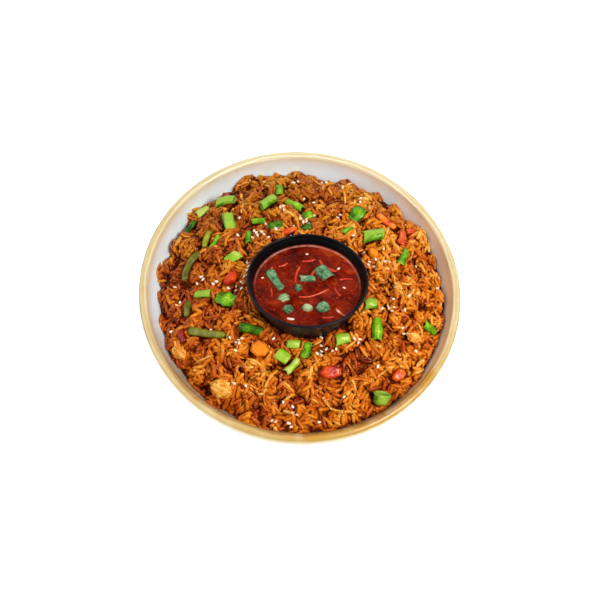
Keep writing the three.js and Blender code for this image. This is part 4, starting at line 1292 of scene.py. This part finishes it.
def sunk(points):
    """How deep each point lies below the heap's evened surface, from 0 to 1 at the dark depth."""
    i, j = cells_of(points[..., 0], points[..., 1])
    return np.clip((even_surface[i, j] + 0.6 - points[..., 2]) / DARK_DEPTH, 0, 1)


def patches(x, y):
    """Slow change over the heap, from -1 to 1, for rice that took up more or less sauce."""
    return np.sin(x / 9 + 1.3 * np.sin(y / 12 + 1)) * np.cos(y / 8 + 1.1 * np.sin(x / 13))


def lay_grains():
    """Grain meshes by kind: sauced and golden whole grains, and broken ones."""
    count = len(grains)
    x, y, z, direction, slope, length, width = grains.T
    place = np.stack([x, y, z], axis=-1)
    half = np.stack([length / 2, width / 2, width * 0.43], axis=-1)
    bend = random.normal(0, 0.35, count)
    roll = random.normal(0, 0.4, count)
    tone = TONE_MIDDLE + 0.15 * patches(x, y) + random.normal(0, 0.11, count)
    # Painted light: grains lighter on raised clumps and clods, darker in hollows, and lighter towards the
    # light on the right.
    tone = tone + 0.035 * clump_rise(x, y) + 0.05 * clods(x, y) + 0.1 * x / 95
    tone = np.clip(tone, 0, 1)
    unbroken = length >= WHOLE_FROM * GRAIN_LENGTH
    finish = rice_material()
    for kind, chosen in (
        ("broken", ~unbroken),
        ("golden", unbroken & (tone >= TONE_MIDDLE)),
        ("sauced", unbroken & (tone < TONE_MIDDLE)),
    ):
        points, faces = many(GRAIN, *(
            row[chosen] for row in (half, bend, direction, slope, roll, place)))
        piece = make_piece(
            f"rice_grains_{kind}", points.reshape(-1, 3), faces, finish, ["rice"])
        mark(piece, "tone", np.repeat(tone[chosen], points.shape[1]))
        # Depth mark for the painted shade of the hollows.
        mark(piece, "depth", 0.95 * sunk(points) ** 1.1)
        # Far-side mark for its painted shade.
        mark(piece, "far_side_shade", np.clip((points[..., 1] - 0.5 * points[..., 0]) / 70, 0, 1))


lay_grains()

# ---- Fine shreds ------------------------------------------------------------------------------
# Carrot and cabbage cut into fine shreds and fried soft with the rice. They curl over the grains
# in loops and short arcs, golden to orange.

SHRED_SPOTS = [
    (80, 50), (85, 41), (78, 27), (73, 35), (60, 42), (62, 36), (12, 74), (6, 80), (18, 78),
    (24, 85), (1, 50), (-5, 47), (-81, 33), (-67, 25), (-24, -26), (-32, -23), (-48, -27), (80, -23),
    (83, 17), (51, -40), (36, -55), (-20, -58), (-7, -66), (11, -55), (43, -63), (-33, -53), (26, -77),
]
SHREDS_ELSEWHERE, SHREDS_WITHIN, SHRED_STATIONS = 120, 93, 12
SHRED_HALF_HEIGHT = 0.45


def strew_shreds():
    """Arcs at the known spots and at random between them, each lying along the evened grains."""
    spots = np.array(SHRED_SPOTS, float) + random.normal(0, 1, (len(SHRED_SPOTS), 2))
    radius = SHREDS_WITHIN * np.sqrt(random.random(SHREDS_ELSEWHERE))
    around = 2 * np.pi * random.random(SHREDS_ELSEWHERE)
    spots = np.concatenate([spots, polar(radius, around, 0)[:, :2]])
    count = len(spots)
    x, y, heading = arcs(
        spots[:, 0], spots[:, 1], 2 * np.pi * random.random(count), random.uniform(7, 15, count),
        random.normal(0, 1.3, count), SHRED_STATIONS)
    i, j = cells_of(x, y)
    free = ~blocked[i, j].any(axis=1)
    near = smooth(surface, 6)
    lift = random.uniform(0.2, 1.0, count)[:, None]
    wave = 0.5 * np.sin(np.linspace(0, 6, SHRED_STATIONS)[None, :] + 6 * random.random((count, 1)))
    z = near[i, j] + lift + wave
    half_width = random.uniform(0.65, 1.1, count)
    half_height = np.full(free.sum(), SHRED_HALF_HEIGHT)
    points, faces = threads(x[free], y[free], z[free], heading[free], half_width[free], half_height)
    finish = tinted_material("soft shreds", [
        (0, (180, 62, 4)), (0.35, (210, 98, 5)), (0.7, (234, 146, 20)), (1, (244, 184, 80)),
    ], smoothest=0.2, scale=500.0)
    piece = make_piece("fine_shreds", points.reshape(-1, 3), faces, finish, ["rice"])
    mark(piece, "tone", np.repeat(random.uniform(0.35, 1, free.sum()), points.shape[1]))


strew_shreds()

# ---- Sesame -----------------------------------------------------------------------------------
# Toasted white sesame, strewn by hand: thick in some places, single seeds elsewhere. Each is a
# flat drop, under three millimetres long, and lies on the grains.

SEED_LENGTH, SEED_WIDTH, SEED_THICKNESS = 2.6, 1.65, 0.96
SEED_STATIONS = np.array([-0.94, -0.6, -0.1, 0.45, 0.85])
SEEDS_MORE, SEEDS_APART = 1.35, 2.0

# Groups: x, y, spread and number. A third more are strewn, and those too close are left out.
SEED_GROUPS = [
    (-31, 29, 5, 12), (-45, 43, 2, 1), (-45, 27, 2, 1), (-20, 34, 2, 2), (-17, 53, 4, 4), (-5, 64, 2, 2),
    (3, 60, 1, 1), (-1, 45, 4, 9), (-11, 37, 3, 4), (-7, 96, 1, 1), (-11, 80, 1, 1), (8, 83, 1, 1),
    (21, 79, 2, 1), (22, 51, 2, 2), (31, 35, 1, 1), (40, 27, 1, 1), (51, 29, 1, 1), (45, 18, 4, 9),
    (54, 19, 1, 1), (55, 78, 1, 1), (35, 67, 1, 1), (73, 51, 1, 1), (75, 24, 1, 1), (69, -5, 1, 1),
    (61, -13, 4, 7), (53, -15, 1, 1), (69, -27, 2, 2), (78, -37, 3, 2), (91, 10, 1, 1), (54, -52, 1, 1),
    (33, -73, 1, 1), (-27, -73, 1, 1), (-35, -72, 1, 1), (3, -88, 6, 5), (20, -89, 1, 1), (-8, -92, 1, 1),
    (-25, -48, 2, 2), (-36, -47, 3, 7), (-14, -44, 1, 1), (20, -47, 5, 9), (40, -39, 2, 2), (-36, 2, 4, 6),
    (-40, -11, 4, 9), (-57, -10, 2, 1), (-66, -5, 3, 2), (-82, -9, 1, 1), (-78, -21, 1, 1),
    (-54, -40, 1, 1), (-80, -39, 1, 1),
]


# One seed with half sizes of 1: round at one end, pointed at the other.
SEED = pod(SEED_STATIONS, np.sqrt(1 - SEED_STATIONS**2) * (1 - 0.35 * SEED_STATIONS))


def strew_sesame():
    """Seeds round each group's middle, turned at random, lying on the highest grains below them."""
    spots = np.concatenate([
        np.array([x, y]) + random.normal(0, spread / 1.5, (math.ceil(SEEDS_MORE * number), 2))
        for x, y, spread, number in SEED_GROUPS
    ])
    apart = np.hypot(spots[:, :1] - spots[:, 0], spots[:, 1:] - spots[:, 1]) + 9 * np.tri(len(spots)).T
    spots = spots[apart.min(axis=1) > SEEDS_APART]
    i, j = cells_of(spots[:, 0], spots[:, 1])
    free = ~blocked[i, j]
    spots, i, j = spots[free], i[free], j[free]
    near = smooth(surface, 3)
    slope = (near[i + 2, j] - near[i - 2, j]) / (4 * CELL)
    highest = np.max([surface[i + a, j + b] for a in (-2, 0, 2) for b in (-2, 0, 2)], axis=0)
    z = (highest + near[i, j]) / 2 + 0.4
    count = len(spots)
    half = np.array([[SEED_LENGTH / 2, SEED_WIDTH / 2, SEED_THICKNESS / 2]])
    half = random.normal(1, 0.08, (count, 1)) * half
    direction = 2 * np.pi * random.random(count)
    roll = random.normal(0, 0.3, count)
    tip = np.clip(slope, -0.4, 0.4) * 0.5
    points, faces = many(
        SEED, half, np.zeros(count), direction, tip, roll, np.column_stack([spots, z]))
    material, tree, shader = new_material("toasted sesame", Specular_IOR_Level=0.4)
    color = toned(tree, [(0, (222, 174, 114)), (0.5, (248, 226, 190)), (1, (255, 246, 228))], 0.12, 600)
    wet(tree, shader, color, 0.3, 0.5, 1200.0, 0.0001)
    piece = make_piece("sesame_seeds", points.reshape(-1, 3), faces, material, ["rice"])
    mark(piece, "tone", np.repeat(np.clip(random.normal(0.6, 0.2, count), 0, 1), points.shape[1]))


strew_sesame()
